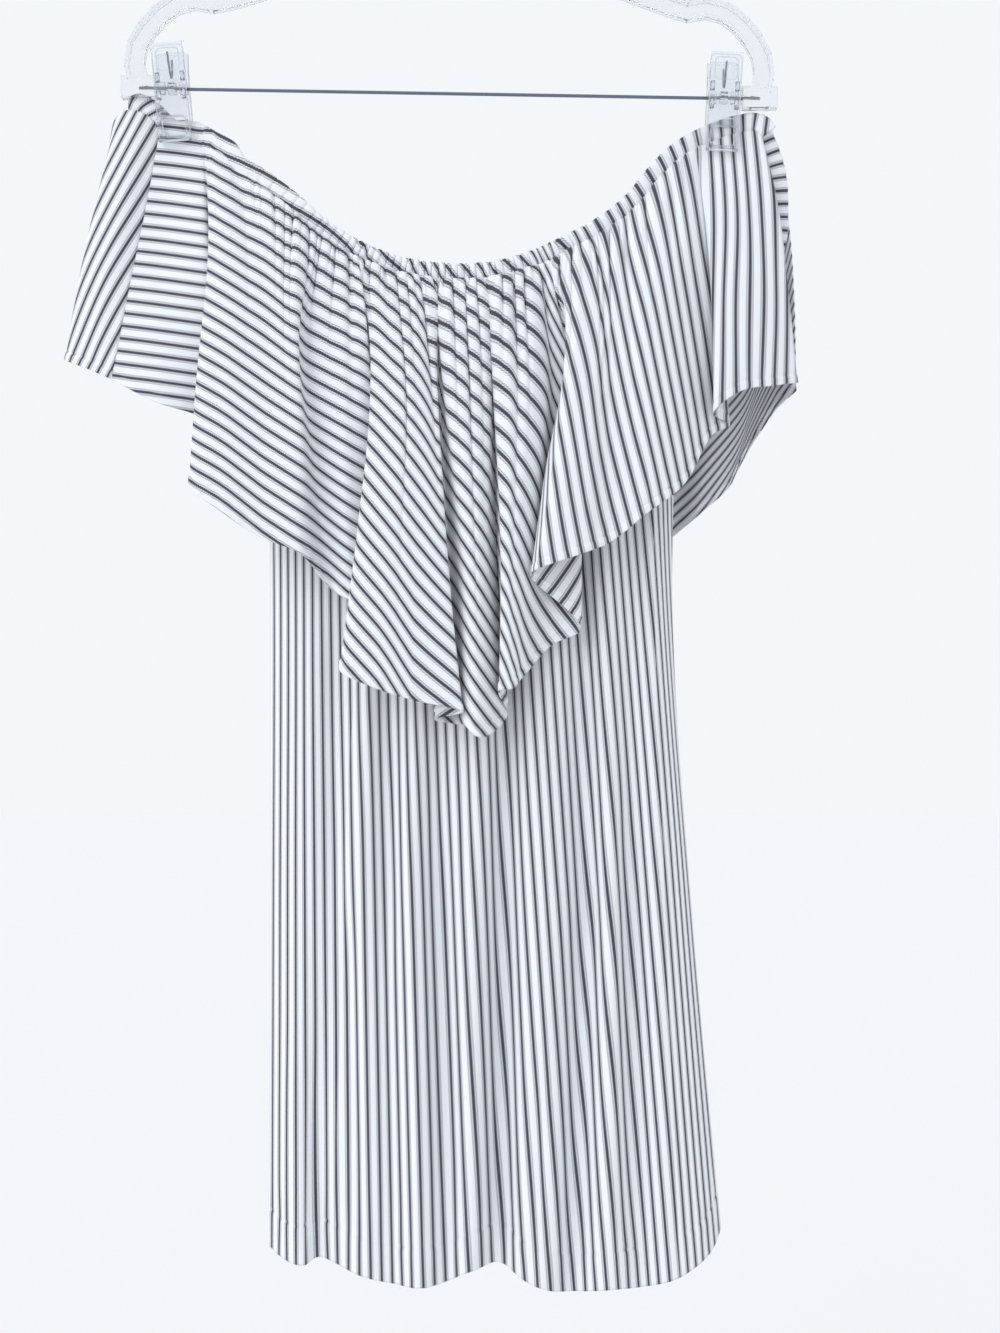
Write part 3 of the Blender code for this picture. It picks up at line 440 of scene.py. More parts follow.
def at_depth(across, drop, depth):
    """World place in metres of a point seen at across and drop, depth behind the rod."""
    scale = 1.0 + depth / VIEW_DISTANCE
    x = VIEW_ACROSS + (across - VIEW_ACROSS) * scale
    z = -(VIEW_DROP + (drop - VIEW_DROP) * scale)
    return (x * MM, depth * MM, z * MM)


def seen(points):
    """Across and drop at which points in metres are seen."""
    depth = points[..., 1] / MM
    scale = 1.0 + depth / VIEW_DISTANCE
    across = VIEW_ACROSS + (points[..., 0] / MM - VIEW_ACROSS) / scale
    drop = VIEW_DROP + (-points[..., 2] / MM - VIEW_DROP) / scale
    return across, drop


def neck_depth(across):
    """Depth of the front neckline: level with the rod in the clips, forward between them."""
    return -NECK_FORWARD * max(0.0, 1.0 - (across / CLIP_REACH) ** 2)


def casing_lower_edge():
    """The front casing's lower edge, tucked in a little, from left to right."""
    line = even_path(FRONT_NECK, NECK_EDGE_POINTS)
    along = np.gradient(line, axis=0)
    along /= np.linalg.norm(along, axis=1, keepdims=True)
    below = np.stack([-along[:, 1], along[:, 0]], axis=1)
    return line + below * (CASING_HEIGHT / 2 - TUCK)


NECK_EDGE = casing_lower_edge()


def neck_drop_below(across):
    return float(np.interp(across, NECK_EDGE[:, 0], NECK_EDGE[:, 1]))


def flounce_depth(across):
    """Mean depth of the front flounce at its hem."""
    return -(FLOUNCE_SIDE_DEPTH + FLOUNCE_MID_DEPTH * max(0.0, 1.0 - (across / FLOUNCE_REACH) ** 2))


def flounce_front_lines():
    lines = []
    for _, top, upper, lower, hem, hem_drop, *forward in FLOUNCE_FRONT:
        top_drop = neck_drop_below(top)
        top_depth = neck_depth(top)
        settles = FLOUNCE_SETTLE_CLIPPED if abs(top) > CLIP_REACH else FLOUNCE_SETTLE
        sizes = zip(FLOUNCE_LEVELS, settles, (top, upper, lower, hem), [0.0, *forward])
        line = []
        for level, settle, across, out in sizes:
            depth = top_depth + (flounce_depth(hem) - top_depth) * settle - out * FOLD_FULLNESS
            line.append(at_depth(across, top_drop + (hem_drop - top_drop) * level, depth))
        lines.append(line)
    return np.array(lines)


def flounce_back_lines():
    lines = [flounce_front_lines()[0]]
    for _, top, top_drop, upper, lower, hem, hem_drop, *depths in FLOUNCE_BACK:
        line = []
        for level, across, depth in zip(FLOUNCE_LEVELS, (top, upper, lower, hem), depths):
            line.append(at_depth(across, top_drop + (hem_drop - top_drop) * level, depth))
        lines.append(line)
    return np.array(lines)


def body_across(row):
    """Across sizes of a body row at the top, chest, skirt and hem."""
    _, top, _, chest, skirt, hem, *_ = row
    return (top, chest, skirt, hem)


def body_lines(rows, side):
    """side is -1 for the front, whose depth is negative, and 1 for the back."""
    lefts, rights = body_across(rows[0]), body_across(rows[-1])
    lines = []
    for row in rows:
        _, top, top_drop, _, _, _, hem_drop, *forward = row
        if side < 0:
            top_drop = max(top_drop, neck_drop_below(top))
        sizes = zip(BODY_LEVELS, body_across(row), lefts, rights, BODY_HALF_DEPTHS, [0.0, *forward])
        line = []
        for level, across, left, right, half_depth, out in sizes:
            place = (2 * across - left - right) / (right - left)
            roundness = math.sqrt(max(0.0, 1.0 - abs(place) ** BODY_ROUNDNESS))
            depth = side * (half_depth * roundness + out)
            if level == BODY_LEVELS[0]:
                depth = body_top_depth(row, rows, side)
            line.append(at_depth(across, top_drop + (hem_drop - top_drop) * level, depth))
        lines.append(line)
    return np.array(lines)


def body_top_depth(row, rows, side):
    """At the top the body hangs inside the neck casing, and closes to its side seams."""
    _, top, top_drop, *_ = row
    if row is rows[0] or row is rows[-1]:
        return 0.0
    if side < 0:
        near = min(1.0, (rows[0][2] - top_drop) / BODY_CLOSING_FRONT)
        return (neck_depth(top) + BODY_BEHIND_NECK[0]) * near
    line = np.array(sorted(BACK_NECK), dtype=float)
    depth = np.interp(top, line[:, 0], line[:, 2]) + BODY_BEHIND_NECK[1]
    return depth * min(1.0, (rows[0][2] - top_drop) / BODY_CLOSING_BACK)


def gap_columns(lines, gathered):
    """How many columns of points each gap between two fold lines gets."""
    top = np.linalg.norm(np.diff(lines[:, 0], axis=0), axis=1) / MM
    hem = np.linalg.norm(np.diff(lines[:, -1], axis=0), axis=1) / MM
    across, _ = seen((lines[1:, 0] + lines[:-1, 0]) / 2)
    fine, plain, low = COLUMN_GAPS
    at_neck = np.where(gathered * gather_strength(across) > LEAST_STRENGTH, fine, plain)
    return np.maximum(LEAST_COLUMNS, np.ceil(np.maximum(top / at_neck, hem / low))).astype(int)


def fold_places(counts):
    """Place of every column, counted in fold lines."""
    places = [0.0]
    for i, count in enumerate(counts):
        places.extend(i + k / count for k in range(1, count + 1))
    return np.array(places)


def cloth_points(lines, levels, places, down):
    """Grid of points on a cloth: a column at each place, counted in fold lines."""
    knots = chord_knots(lines[:, -1])
    columns = np.stack([spline(line, levels, down) for line in lines])
    return spline(columns, knots, np.interp(places, np.arange(len(knots)), knots))


def hang_from_neck(points):
    """Lets the top edge follow the casing, and the cloth below it a little less."""
    rows = points.shape[1]
    for column in points:
        across, _ = seen(column[0])
        lift = at_depth(across, neck_drop_below(across), column[0, 1] / MM)[2] - column[0, 2]
        if abs(lift) > NECK_REACH * MM:
            continue
        column[:, 2] += lift * (1.0 - np.arange(rows) / (rows - 1)) ** NECK_FADE
    return points


def grid_normals(points):
    steps = np.diff(points, axis=0)
    steps /= np.maximum(np.linalg.norm(steps, axis=2, keepdims=True), 1e-9)
    across = np.concatenate([steps[:1], steps[1:] + steps[:-1], steps[-1:]])
    normals = np.cross(across, np.gradient(points, axis=1))
    return normals / np.maximum(np.linalg.norm(normals, axis=2, keepdims=True), 1e-12)


def lengths_down(points):
    """Length of cloth from the top edge to each point of its column, in millimetres."""
    steps = np.linalg.norm(np.diff(points, axis=1), axis=2) / MM
    return np.concatenate([np.zeros((points.shape[0], 1)), np.cumsum(steps, axis=1)], axis=1)


def lengths_across(points, row):
    """Length of cloth from the first column to each point of a row, in millimetres."""
    steps = np.linalg.norm(np.diff(points[:, row], axis=0), axis=1) / MM
    return np.concatenate([[0.0], np.cumsum(steps)])


def cut_reach(across, drop):
    """How far below the cut's measuring line a seen place is."""
    return drop - CUT_DROP + CUT_FAN * (across / CUT_FAN_REACH) ** 2


def cut_turns(places, names, cut):
    """Angle between stripes and column, and fullness, at each place counted in fold lines."""
    order = [names.index(name) for name, _, _ in cut]
    turns = np.interp(places, order, [turn for _, turn, _ in cut])
    return np.radians(turns), np.interp(places, order, [fullness for _, _, fullness in cut])


def cut_line(points, reach, turns, fullness):
    """Where the columns start on the flat cloth, across and along the stripes.

    The flat cloth between two columns is the mean of what their rows take.
    """
    sense = math.copysign(1.0, turns[-1] - turns[0])
    fan = sense * np.diff(turns)
    needed = []
    seen_across, _ = seen(points)
    for row in range(0, points.shape[1], CUT_ROW_STEP):
        steps = np.diff(lengths_across(points, row)) * (1.0 - CUT_FLAT)
        steps += np.abs(np.diff(seen_across[:, row])) * CUT_FLAT
        middle = (reach[1:, row] + reach[:-1, row]) / 2
        needed.append(steps * (fullness[1:] + fullness[:-1]) / 2 - fan * middle)
    widths = np.maximum(np.mean(needed, axis=0), CUT_NECK * needed[0])
    middle = (turns[1:] + turns[:-1]) / 2
    across = np.concatenate([[0.0], np.cumsum(sense * widths * np.cos(middle))])
    along = np.concatenate([[0.0], np.cumsum(-sense * widths * np.sin(middle))])
    return np.stack([across, along], axis=1)


def gather_phase(across):
    """Count of gathers from the left end of the neck to a place across it."""
    table = np.array(GATHER_SPACING)
    fine = np.linspace(table[0, 0], table[-1, 0], NECK_PLACES)
    spacing = np.interp(fine, table[:, 0], table[:, 1])
    counts = np.concatenate([[0.0], np.cumsum(np.diff(fine) / spacing[1:])])
    return np.interp(across, fine, counts)


def gather_strength(across):
    table = np.array(GATHER_SPACING)
    return np.interp(across, table[:, 0], table[:, 2])


def uneven(place, seed):
    """A smooth wandering value from -1 to 1."""
    waves = [math.sin(place * speed + seed * share) for speed, share in WANDER_WAVES]
    return sum(waves) / len(waves)


def gather_part(phase, seed):
    """Place within a gather, 0 on its crest and a half in the troughs beside it."""
    share, speed = GATHER_WANDER
    shifted = phase + share * uneven(phase * speed, seed)
    return shifted - round(shifted)


def gather_wave(phase, seed=0):
    """Height of the gathers: round crests from 1, narrow troughs down to -1."""
    mean, share, speed, start = GATHER_HEIGHTS
    height = mean + share * uneven(phase * speed, seed + start)
    return (1.0 - 2.0 * abs(2.0 * gather_part(phase, seed)) ** GATHER_SHARPNESS) * height


def gather_fade(down, phase, start, reach):
    """How much there is of a gather further down; each one has its own length."""
    share, speed, seed = GATHER_LENGTHS
    begin, end = GATHER_EDGES
    length = reach * (1.0 + share * uneven(phase * speed, seed))
    grown = 1.0 - np.exp(-(down / start) ** begin)
    return grown * np.exp(-(down / length) ** end)


def gather_cloth(points):
    """The points with their gathers; the sides of each lean in, so that its troughs are narrow."""
    out = outward(points)
    side = np.gradient(points, axis=0)
    side /= np.maximum(np.linalg.norm(side, axis=2, keepdims=True), 1e-9)
    facing = np.clip(GATHER_FACING[0] * out[..., 1] + GATHER_FACING[1], 0.0, 1.0)
    down = lengths_down(points)
    across, _ = seen(points[:, 0])
    moved = points.copy()
    for i, place in enumerate(across):
        strength = gather_strength(place)
        if strength <= 0.0:
            continue
        for seed, (together, height, start, reach, lean) in enumerate(GATHERS):
            phase = gather_phase(place) / together
            fade = gather_fade(down[i], phase, start, reach) * strength * MM
            turn = 2 * math.pi * gather_part(phase, seed)
            rise = height * (GATHER_LIFT + gather_wave(phase, seed))
            moved[i] += out[i] * (rise * fade * facing[i])[:, None]
            moved[i] += side[i] * (lean * math.sin(turn) * fade * facing[i])[:, None]
    return moved


def add_hem(points, hem):
    """Turned strip along the lower edge, with its stitched groove and small puckers."""
    width, rise, groove = hem
    down = lengths_down(points)
    above = down[:, -1:] - down
    along = lengths_across(points, -1)
    wander = np.array([uneven(place / PUCKER_STEP, 1.0) for place in along])[:, None]
    turned = 1.0 / (1.0 + np.exp((above - width) / HEM_EDGE))
    seam = np.exp(-((above - width) / HEM_GROOVE_WIDTH) ** 2)
    near = np.exp(-((above - width) / (width * PUCKER_REACH[0] + PUCKER_REACH[1])) ** 2)
    height = rise * turned - groove * seam * (1.0 + GROOVE_WANDER * wander) + PUCKER * wander * near
    return points + outward(points) * (height * MM)[..., None]


def outward(points):
    """Normals on the side of the cloth that faces away from the dress's middle."""
    normals = grid_normals(points)
    facing = np.sign(np.median(normals[:, -1, 1]))
    away = 1.0 if points[:, -1, 1].mean() > 0 else -1.0
    return normals * (facing * away)


def grid_mesh(name, points, uv, material, thick=SHELL):
    """Thin shell of cloth over a grid of points. uv holds the stripe coordinates in metres."""
    columns, rows, _ = points.shape
    mesh = bpy.data.meshes.new(name)
    index = np.arange(columns * rows).reshape(columns, rows)
    faces = np.stack([index[:-1, :-1], index[1:, :-1], index[1:, 1:], index[:-1, 1:]], axis=-1)
    mesh.from_pydata(points.reshape(-1, 3).tolist(), [], faces.reshape(-1, 4).tolist())
    layer = mesh.uv_layers.new(name="Stripe")
    corners = np.empty(len(mesh.loops), dtype=int)
    mesh.loops.foreach_get("vertex_index", corners)
    layer.data.foreach_set("uv", uv.reshape(-1, 2)[corners].ravel())
    mesh.shade_smooth()
    mesh.materials.append(material)
    made = bpy.data.objects.new(name, mesh)
    bpy.context.scene.collection.objects.link(made)
    solid = made.modifiers.new("thickness", "SOLIDIFY")
    solid.thickness = thick * MM
    solid.offset = 0.0
    return made


def math_node(tree, operation, first, second=None, clamp=False, third=None):
    node = tree.nodes.new("ShaderNodeMath")
    node.operation = operation
    node.use_clamp = clamp
    for slot, value in ((0, first), (1, second), (2, third)):
        if value is None:
            continue
        if isinstance(value, (int, float)):
            node.inputs[slot].default_value = value
        else:
            tree.links.new(value, node.inputs[slot])
    return node.outputs[0]


def band(tree, distance, half_width, softness):
    """1 within half_width of a line, falling to 0 over softness."""
    inside = math_node(tree, "SUBTRACT", half_width, distance)
    return math_node(tree, "DIVIDE", math_node(tree, "ADD", inside, softness / 2), softness, True)


def cloth_material(name, ground, shade):
    """Ticking stripes across the stripe coordinates, with the twill's ticks along them."""
    material = bpy.data.materials.new(name)
    material.use_nodes = True
    tree = material.node_tree
    shader = tree.nodes["Principled BSDF"]
    shader.inputs["Roughness"].default_value = CLOTH_ROUGHNESS
    shader.inputs["Sheen Weight"].default_value = CLOTH_SHEEN[0]
    shader.inputs["Sheen Roughness"].default_value = CLOTH_SHEEN[1]
    coords = tree.nodes.new("ShaderNodeUVMap")
    coords.uv_map = "Stripe"
    split = tree.nodes.new("ShaderNodeSeparateXYZ")
    tree.links.new(coords.outputs[0], split.inputs[0])
    across, along = split.outputs[0], split.outputs[1]
    repeat = math_node(tree, "DIVIDE", across, STRIPE_REPEAT * MM)
    part = math_node(tree, "FRACT", repeat)
    centred = math_node(tree, "SUBTRACT", part, 0.5)
    distance = math_node(tree, "MULTIPLY", math_node(tree, "ABSOLUTE", centred), STRIPE_REPEAT)
    slanted = math_node(tree, "MULTIPLY", centred, STRIPE_REPEAT * TWILL_SLANT)
    place = math_node(tree, "ADD", math_node(tree, "DIVIDE", along, MM), slanted)
    tick = math_node(tree, "SINE", math_node(tree, "MULTIPLY", place, 2 * math.pi / TWILL_STEP))
    wobble = math_node(tree, "MULTIPLY", tick, TWILL_WOBBLE)
    core_width = math_node(tree, "ADD", wobble, STRIPE_CORE / 2)
    core = band(tree, distance, core_width, STRIPE_EDGE)
    haze = math_node(tree, "MULTIPLY", band(tree, distance, STRIPE_SIDE, HAZE_EDGE), HAZE_INK)
    away = math_node(tree, "ABSOLUTE", math_node(tree, "SUBTRACT", distance, STRIPE_SIDE))
    side = band(tree, away, STRIPE_SIDE_WIDTH / 2, STRIPE_EDGE)
    dots = math_node(tree, "MULTIPLY_ADD", tick, 0.5, third=0.5)
    side = math_node(tree, "MULTIPLY", side, dots)
    side = math_node(tree, "MAXIMUM", math_node(tree, "MULTIPLY", side, SIDE_INK), haze)
    ink = math_node(tree, "MAXIMUM", math_node(tree, "MULTIPLY", core, CORE_INK), side)
    mix = tree.nodes.new("ShaderNodeMix")
    mix.data_type = "RGBA"
    mix.inputs[6].default_value = (*ground, 1.0)
    mix.inputs[7].default_value = (*shade, 1.0)
    tree.links.new(ink, mix.inputs[0])
    tree.links.new(mix.outputs[2], shader.inputs["Base Color"])
    weave = math_node(tree, "MULTIPLY", tick, 0.5)
    bump = tree.nodes.new("ShaderNodeBump")
    bump.inputs["Strength"].default_value = TWILL_BUMP
    bump.inputs["Distance"].default_value = TWILL_BUMP_HEIGHT * MM
    tree.links.new(weave, bump.inputs["Height"])
    tree.links.new(bump.outputs[0], shader.inputs["Normal"])
    return material


def plain_material(name, colour, roughness, metallic=0.0, clear=0.0):
    material = bpy.data.materials.new(name)
    material.use_nodes = True
    shader = material.node_tree.nodes["Principled BSDF"]
    shader.inputs["Base Color"].default_value = (*colour, 1.0)
    shader.inputs["Roughness"].default_value = roughness
    shader.inputs["Metallic"].default_value = metallic
    shader.inputs["Transmission Weight"].default_value = clear
    shader.inputs["IOR"].default_value = PLASTIC_IOR
    return material


def cut_uv(line, reach, turns):
    """Stripe coordinates in metres, across and along the stripes."""
    across = line[..., 0] + reach * np.sin(turns)
    along = line[..., 1] + reach * np.cos(turns)
    return np.stack([across, along], axis=-1) * MM


def make_flounce_front(material):
    lines = flounce_front_lines()
    places = fold_places(gap_columns(lines, 1.0))
    points = hang_from_neck(cloth_points(lines, FLOUNCE_LEVELS, places, FLOUNCE_ROWS))
    reach = cut_reach(*seen(points))
    turns, fullness = cut_turns(places, [row[0] for row in FLOUNCE_FRONT], FRONT_CUT)
    line = cut_line(points, reach, turns, fullness)
    uv = cut_uv(line[:, None], reach, turns[:, None])
    made = grid_mesh("flounce_front_cloth", add_hem(gather_cloth(points), FLOUNCE_HEM), uv, material)
    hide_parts("flounce_front")
    across, _ = seen(points[:, 0])
    order = np.argsort(across)
    return made, (across[order], turns[order], line[order])


def make_flounce_back(material):
    lines = flounce_back_lines()
    places = fold_places(gap_columns(lines, 0.0))
    points = cloth_points(lines, FLOUNCE_LEVELS, places, FLOUNCE_ROWS)
    reach = lengths_down(points)
    turns, fullness = cut_turns(places, ["side_seam"] + [row[0] for row in FLOUNCE_BACK], BACK_CUT)
    uv = cut_uv(cut_line(points, reach, turns, fullness)[:, None], reach, turns[:, None])
    made = grid_mesh("flounce_back_cloth", add_hem(points, FLOUNCE_HEM), uv, material)
    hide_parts("flounce_back")
    return made


def upright_widths(points):
    """Stripe coordinate across a body panel: the stripes fan out between the straight side edges."""
    across, drop = seen(points)
    skirt = int(points.shape[1] * BODY_SKIRT_SHARE)
    lefts = np.polyfit(drop[0, skirt:], across[0, skirt:], 1)
    rights = np.polyfit(drop[-1, skirt:], across[-1, skirt:], 1)
    share = (across - np.polyval(lefts, drop)) / (np.polyval(rights, drop) - np.polyval(lefts, drop))
    length = lengths_across(points, skirt)
    drawn = length / length[-1] - share[:, skirt]
    return (share + BODY_DRAW * drawn[:, None]) * BODY_STRIPES * STRIPE_REPEAT


def crease_height(across, drop, creases):
    """Height in millimetres of soft troughs: each falls along a slightly slanted line."""
    height = np.zeros_like(across)
    ridge_place, ridge_share = CREASE_RIDGE
    for top, low, start, end, half_width, depth in creases:
        share = np.clip((drop - start) / (end - start), 0.0, 1.0)
        middle = top + (low - top) * share
        begun = 1.0 / (1.0 + np.exp(-(drop - start) / CREASE_END))
        ends = begun / (1.0 + np.exp((drop - end) / CREASE_END))
        trough = np.exp(-((across - middle) / half_width) ** 2)
        sides = np.exp(-((np.abs(across - middle) - ridge_place * half_width) / half_width) ** 2)
        height += depth * ends * (ridge_share * sides - trough)
    return height


def add_creases(points, creases):
    height = crease_height(*seen(points), creases)
    return points + outward(points) * (height * MM)[..., None]


def make_body(name, rows, side, creases, material):
    lines = body_lines(rows, side)
    places = fold_places([BODY_GAP_COLUMNS] * (len(lines) - 1))
    points = cloth_points(lines, BODY_LEVELS, places, BODY_ROWS)
    if side < 0:
        points = hang_from_neck(points)
    uv = np.stack([upright_widths(points), lengths_down(points)], axis=2) * MM
    made = grid_mesh(name + "_cloth", add_hem(add_creases(points, creases), BODY_HEM), uv, material)
    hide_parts(name)
    return made


def make_casing(name, path, guide, stripes_at, strength_at, phase_at, height_at, material):
    """Gathered tube along a neckline. guide gives the side that its top edge faces."""
    tangents = np.gradient(path, axis=0)
    columns, uv = [], []
    for k in range(CASING_SECTION + 1):
        turn = 2 * math.pi * k / CASING_SECTION
        column, places = [], []
        for i, (place, tangent) in enumerate(zip(path, tangents)):
            along = Vector(tangent).normalized()
            up = Vector(guide(place))
            up = (up - along * up.dot(along)).normalized()
            out = along.cross(up).normalized()
            wave = gather_wave(phase_at[i]) * strength_at[i]
            high = math.cos(turn) * (height_at[i] / 2 + CASING_RISE * wave)
            flat = math.copysign(abs(math.sin(turn)) ** CASING_ROUNDNESS, math.sin(turn))
            thick = flat * (CASING_THICK / 2 + CASING_PUFF * wave)
            column.append(Vector(place) + (up * high + out * thick) * MM)
            places.append(stripes_at(i, high, column[-1]))
        columns.append(column)
        uv.append(places)
    points = np.array(columns).transpose(1, 0, 2)
    made = grid_mesh(name + "_cloth", points, np.array(uv).transpose(1, 0, 2) * MM, material, CASING_SHELL)
    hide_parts(name)
    return made


def make_front_casing(cut, material):
    flat = even_path(FRONT_NECK + FRONT_NECK_END, FRONT_CASING_STATIONS)
    path = np.array([at_depth(x, drop, neck_depth(x)) for x, drop in flat])
    length = lengths_along(path) / MM
    cut_across, cut_angle, cut_places = cut
    strength = gather_strength(flat[:, 0])
    phase = gather_phase(flat[:, 0])
    height = CASING_HEIGHT * np.interp(flat[:, 0], CASING_END_ACROSS, CASING_END_HEIGHT)

    def stripes_at(i, high, place):
        if flat[i, 0] < SIDE_SEAM_ACROSS:
            return (length[i] + STRIPE_REPEAT / 2 - high * CASING_END_LEAN, high)
        across, drop = seen(np.array(place))
        at = flat[i, 0] + CASING_SLANT * (across - flat[i, 0])
        turn = np.interp(at, cut_across, cut_angle)
        reach = cut_reach(across, drop)
        beyond = max(0.0, across - cut_across[-1])
        return (np.interp(at, cut_across, cut_places[:, 0]) - beyond + reach * math.sin(turn),
                np.interp(at, cut_across, cut_places[:, 1]) + reach * math.cos(turn))

    return make_casing("neck_casing_front", path, lambda place: (0, 0, 1), stripes_at,
                       np.maximum(strength, CASING_LEAST_GATHER), phase, height, material)


def make_back_casing(material):
    flat = even_path(BACK_NECK_START + BACK_NECK + BACK_NECK_END, BACK_CASING_STATIONS)
    path = np.array([at_depth(*place) for place in flat])
    length = lengths_along(path) / MM

    def neck_side(place):
        return Vector((0.0, place[1], BACK_CASING_AIM * MM)) - Vector(place)

    strength = np.full(len(path), BACK_CASING_GATHER)
    height = np.full(len(path), CASING_HEIGHT)
    return make_casing("neck_casing_back", path, neck_side, lambda i, high, place: (length[i], high),
                       strength, length / BACK_GATHER, height, material)


def tube(bm, path, radius, closed, sides=8):
    """Round wire of the given radius along a path in millimetres."""
    path = [Vector(place) for place in path]
    count = len(path)
    rings = []
    for i, place in enumerate(path):
        before = path[i - 1] if closed or i > 0 else path[0]
        after = path[(i + 1) % count] if closed or i < count - 1 else path[-1]
        along = (after - before).normalized()
        out = along.cross(Vector((0.0, 1.0, 0.0))).normalized()
        front = out.cross(along)
        angles = [2 * math.pi * k / sides for k in range(sides)]
        spokes = [out * math.cos(angle) + front * math.sin(angle) for angle in angles]
        rings.append([bm.verts.new((place + spoke * radius) * MM) for spoke in spokes])
    for i in range(count if closed else count - 1):
        first, second = rings[i], rings[(i + 1) % count]
        for k in range(sides):
            n = (k + 1) % sides
            bm.faces.new((first[k], first[n], second[n], second[k]))
    if not closed:
        bm.faces.new(rings[0][::-1])
        bm.faces.new(rings[-1])


def rounded_frame(half_width, low, high, corner, forward, steps=6):
    """Closed line round a frame with rounded corners, in a clip's own places."""
    line = []
    corners = [
        (half_width - corner, high - corner, 0.0), (corner - half_width, high - corner, 90.0),
        (corner - half_width, low + corner, 180.0), (half_width - corner, low + corner, 270.0)]
    for x, z, start in corners:
        for k in range(steps + 1):
            angle = math.radians(start + 90.0 * k / steps)
            line.append((x + corner * math.cos(angle), -forward, z + corner * math.sin(angle)))
    return line


def finish_mesh(name, bm, material):
    bmesh.ops.recalc_face_normals(bm, faces=bm.faces[:])
    mesh = bpy.data.meshes.new(name)
    bm.to_mesh(mesh)
    bm.free()
    mesh.shade_smooth()
    mesh.materials.append(material)
    made = bpy.data.objects.new(name, mesh)
    bpy.context.scene.collection.objects.link(made)
    return made


def make_clip_rims(material):
    """Raised rims and ridges on both faces of the clips."""
    made = []
    for label, across, lean in CLIPS:
        bm = bmesh.new()
        share = (across - ROD_LEFT[0]) / (ROD_RIGHT[0] - ROD_LEFT[0])
        drop = ROD_LEFT[1] + (ROD_RIGHT[1] - ROD_LEFT[1]) * share
        turned = Matrix.Rotation(math.radians(-lean), 4, "Y")
        for side in (1.0, -1.0):
            rims = CLIP_RIMS if side > 0 else CLIP_RIMS[:1]
            for half_width, low, high, corner, forward, wire in rims:
                tube(bm, rounded_frame(half_width, low, high, corner, side * forward), wire, True)
            for x, z, length, forward, radius in CLIP_LOBES if side > 0 else []:
                ends = [(x, -side * forward, z - length / 2), (x, -side * forward, z + length / 2)]
                tube(bm, ends, radius, False)
        place = Matrix.Translation((across * MM, 0.0, -drop * MM)) @ turned
        bmesh.ops.transform(bm, matrix=place, verts=bm.verts[:])
        made.append(finish_mesh("clip_rims_" + label, bm, material))
    return made


def make_arm_bumps(material):
    """Small bumps that keep straps from slipping, along the arms' outer edge."""
    spacing, radius, rise, first = ARM_BUMPS
    line = even_path(ARM_LINE, ARM_POINTS)
    along = np.gradient(line, axis=0)
    along /= np.linalg.norm(along, axis=1, keepdims=True)
    edge = line + np.stack([along[:, 1], -along[:, 0]], axis=1) * rise
    length = lengths_along(edge)
    bm = bmesh.new()
    for place in np.arange(spacing, length[-1], spacing):
        x, drop = (np.interp(place, length, edge[:, k]) for k in range(2))
        if abs(x) > first:
            centre = Matrix.Translation((x * MM, 0.0, -drop * MM))
            bmesh.ops.create_icosphere(bm, subdivisions=1, radius=radius * MM, matrix=centre)
    return finish_mesh("arm_bumps", bm, material)


def make_camera():
    data = bpy.data.cameras.new("camera")
    data.sensor_fit = "VERTICAL"
    data.sensor_height = SENSOR
    data.lens = SENSOR * VIEW_DISTANCE / (PHOTO_HEIGHT * PIXEL)
    camera = bpy.data.objects.new("camera", data)
    camera.location = (VIEW_ACROSS * MM, -VIEW_DISTANCE * MM, -VIEW_DROP * MM)
    camera.rotation_euler = (math.radians(90.0), 0.0, 0.0)
    bpy.context.scene.collection.objects.link(camera)
    bpy.context.scene.camera = camera


def add_sun(place, target, strength, spread, colour):
    data = bpy.data.lights.new("sun", "SUN")
    data.energy = strength
    data.angle = spread
    data.color = colour
    lamp = bpy.data.objects.new("sun", data)
    lamp.location = place
    lamp.rotation_euler = (Vector(target) - Vector(place)).to_track_quat("-Z", "Y").to_euler()
    bpy.context.scene.collection.objects.link(lamp)


def make_world():
    """Soft studio light from all round, weaker from in front and from the right."""
    world = bpy.data.worlds.new("studio")
    bpy.context.scene.world = world
    world.use_nodes = True
    tree = world.node_tree
    coords = tree.nodes.new("ShaderNodeTexCoord")
    split = tree.nodes.new("ShaderNodeSeparateXYZ")
    tree.links.new(coords.outputs["Generated"], split.inputs[0])
    behind = math_node(tree, "MULTIPLY_ADD", split.outputs[1], WORLD_BACK[0], True, WORLD_BACK[1])
    leftward = math_node(tree, "MULTIPLY_ADD", split.outputs[0], WORLD_LEFT[0], True, WORLD_LEFT[1])
    front = mix_colours(tree, leftward, FRONT_RIGHT_LIGHT, FRONT_LEFT_LIGHT)
    both = mix_colours(tree, behind, None, BACKDROP)
    tree.links.new(front, both.node.inputs[6])
    tree.links.new(both, tree.nodes["Background"].inputs["Color"])


def mix_colours(tree, share, first, second):
    node = tree.nodes.new("ShaderNodeMix")
    node.data_type = "RGBA"
    for slot, colour in ((6, first), (7, second)):
        if colour is not None:
            node.inputs[slot].default_value = (*colour, 1.0)
    tree.links.new(share, node.inputs[0])
    return node.outputs[2]


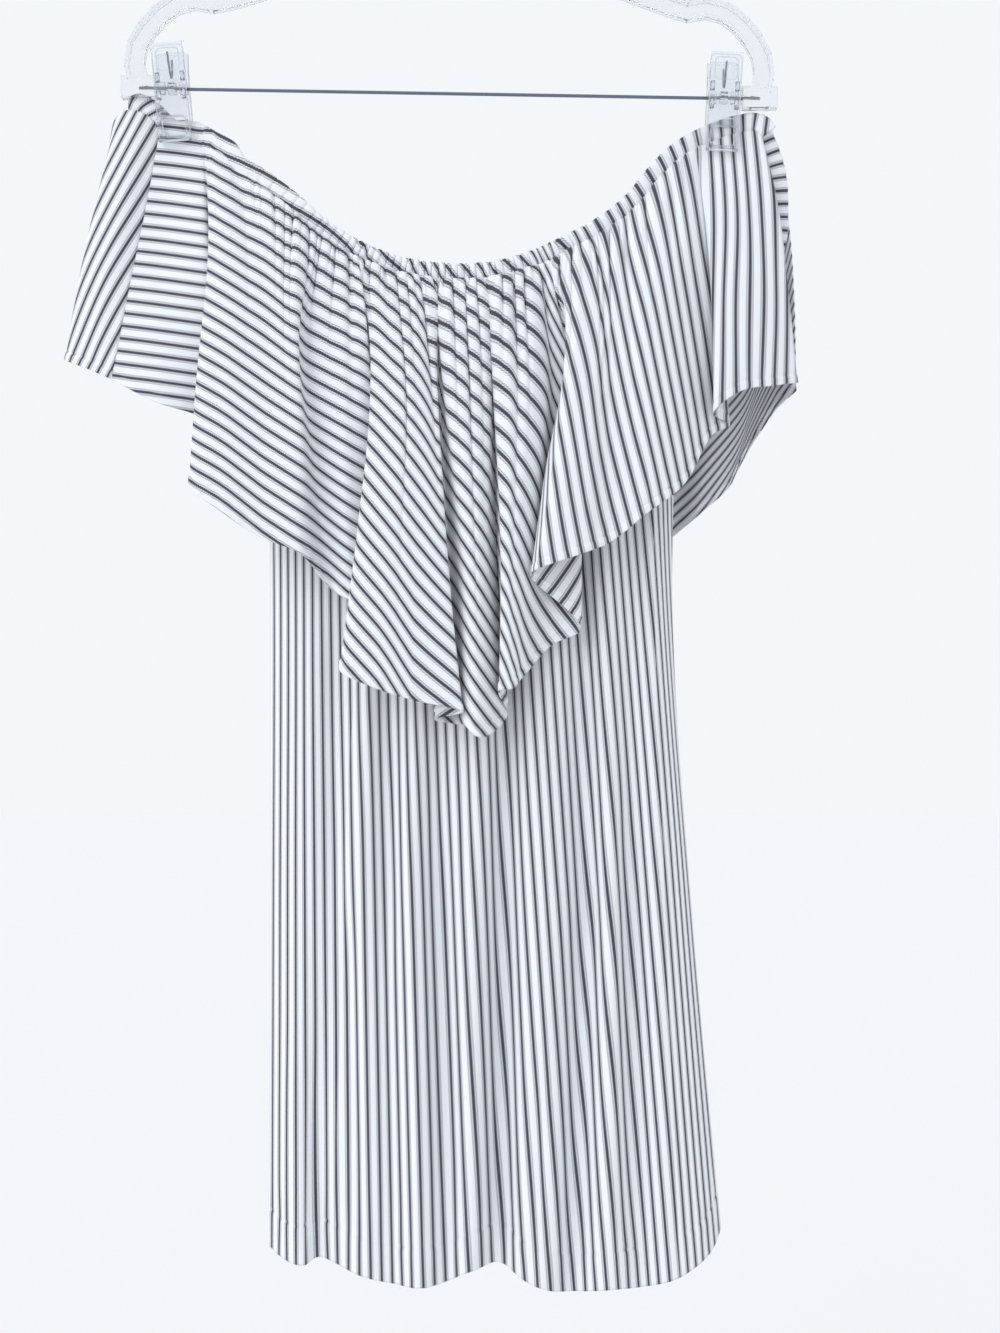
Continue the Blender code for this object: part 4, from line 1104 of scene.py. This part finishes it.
def make_stage():
    mesh = bpy.data.meshes.new("floor")
    corners = [(-FLOOR_HALF, -FLOOR_HALF, 0), (FLOOR_HALF, -FLOOR_HALF, 0),
               (FLOOR_HALF, FLOOR_HALF, 0), (-FLOOR_HALF, FLOOR_HALF, 0)]
    mesh.from_pydata(corners, [], [(0, 1, 2, 3)])
    mesh.materials.append(plain_material("floor_paint", FLOOR_COLOUR, 1.0))
    floor = bpy.data.objects.new("floor", mesh)
    floor.location = (0.0, 0.0, FLOOR_HEIGHT)
    bpy.context.scene.collection.objects.link(floor)
    make_world()
    add_sun(SUN_PLACE, SUN_TARGET, SUN, SUN_SPREAD, SUN_COLOUR)
    bpy.context.scene.view_settings.view_transform = "Standard"


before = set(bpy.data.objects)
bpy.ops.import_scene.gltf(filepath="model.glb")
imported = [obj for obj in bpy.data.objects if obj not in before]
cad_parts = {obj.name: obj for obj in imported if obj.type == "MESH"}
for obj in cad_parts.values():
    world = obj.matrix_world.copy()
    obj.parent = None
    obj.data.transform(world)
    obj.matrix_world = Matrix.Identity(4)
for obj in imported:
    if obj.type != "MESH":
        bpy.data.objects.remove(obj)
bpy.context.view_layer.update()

ticking = cloth_material("ticking_front", CLOTH_GROUND, CLOTH_INK)
plastic = plain_material("clear_plastic", (0.93, 0.95, 0.98), 0.07, clear=0.93)
# painted shade: a darker, less clear copy of the clear plastic, so the rims and bumps show as the grey
# lines that clear plastic has along its edges
shaded_rim_plastic = plain_material("clear_plastic_edge_painted_shade", (0.90, 0.93, 0.97), 0.08, clear=0.88)
steel = plain_material("steel", (0.17, 0.19, 0.24), 0.28, metallic=1.0)

flounce_front, flounce_cut = make_flounce_front(ticking)
flounce_back = make_flounce_back(ticking)
body_front = make_body("body_front", BODY_FRONT, -1, FRONT_CREASES, ticking)
body_back = make_body("body_back", BODY_BACK, 1, BACK_CREASES, ticking)
casing_front = make_front_casing(flounce_cut, ticking)
casing_back = make_back_casing(ticking)

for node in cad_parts:
    if node.startswith(("hanger_frame", "clip_")) and not node.endswith("spring"):
        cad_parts[node].data.materials.clear()
        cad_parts[node].data.materials.append(plastic)
    elif node.startswith(("hanger_", "clip_")):
        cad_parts[node].data.materials.clear()
        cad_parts[node].data.materials.append(steel)

cloths = {
    "flounce_front": flounce_front, "flounce_back": flounce_back, "body_front": body_front,
    "body_back": body_back, "neck_casing_front": casing_front, "neck_casing_back": casing_back,
}
for node, width, length, area, held, carriers in SHEETS:
    piece = cloths[node]
    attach(piece, "root")
    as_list(carriers)
# the clip rims and arm bumps take the darker plastic copy, painted shade along the clips' and arms' edges
for piece in (*make_clip_rims(shaded_rim_plastic), make_arm_bumps(shaded_rim_plastic)):
    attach(piece, "root")

make_stage()
make_camera()
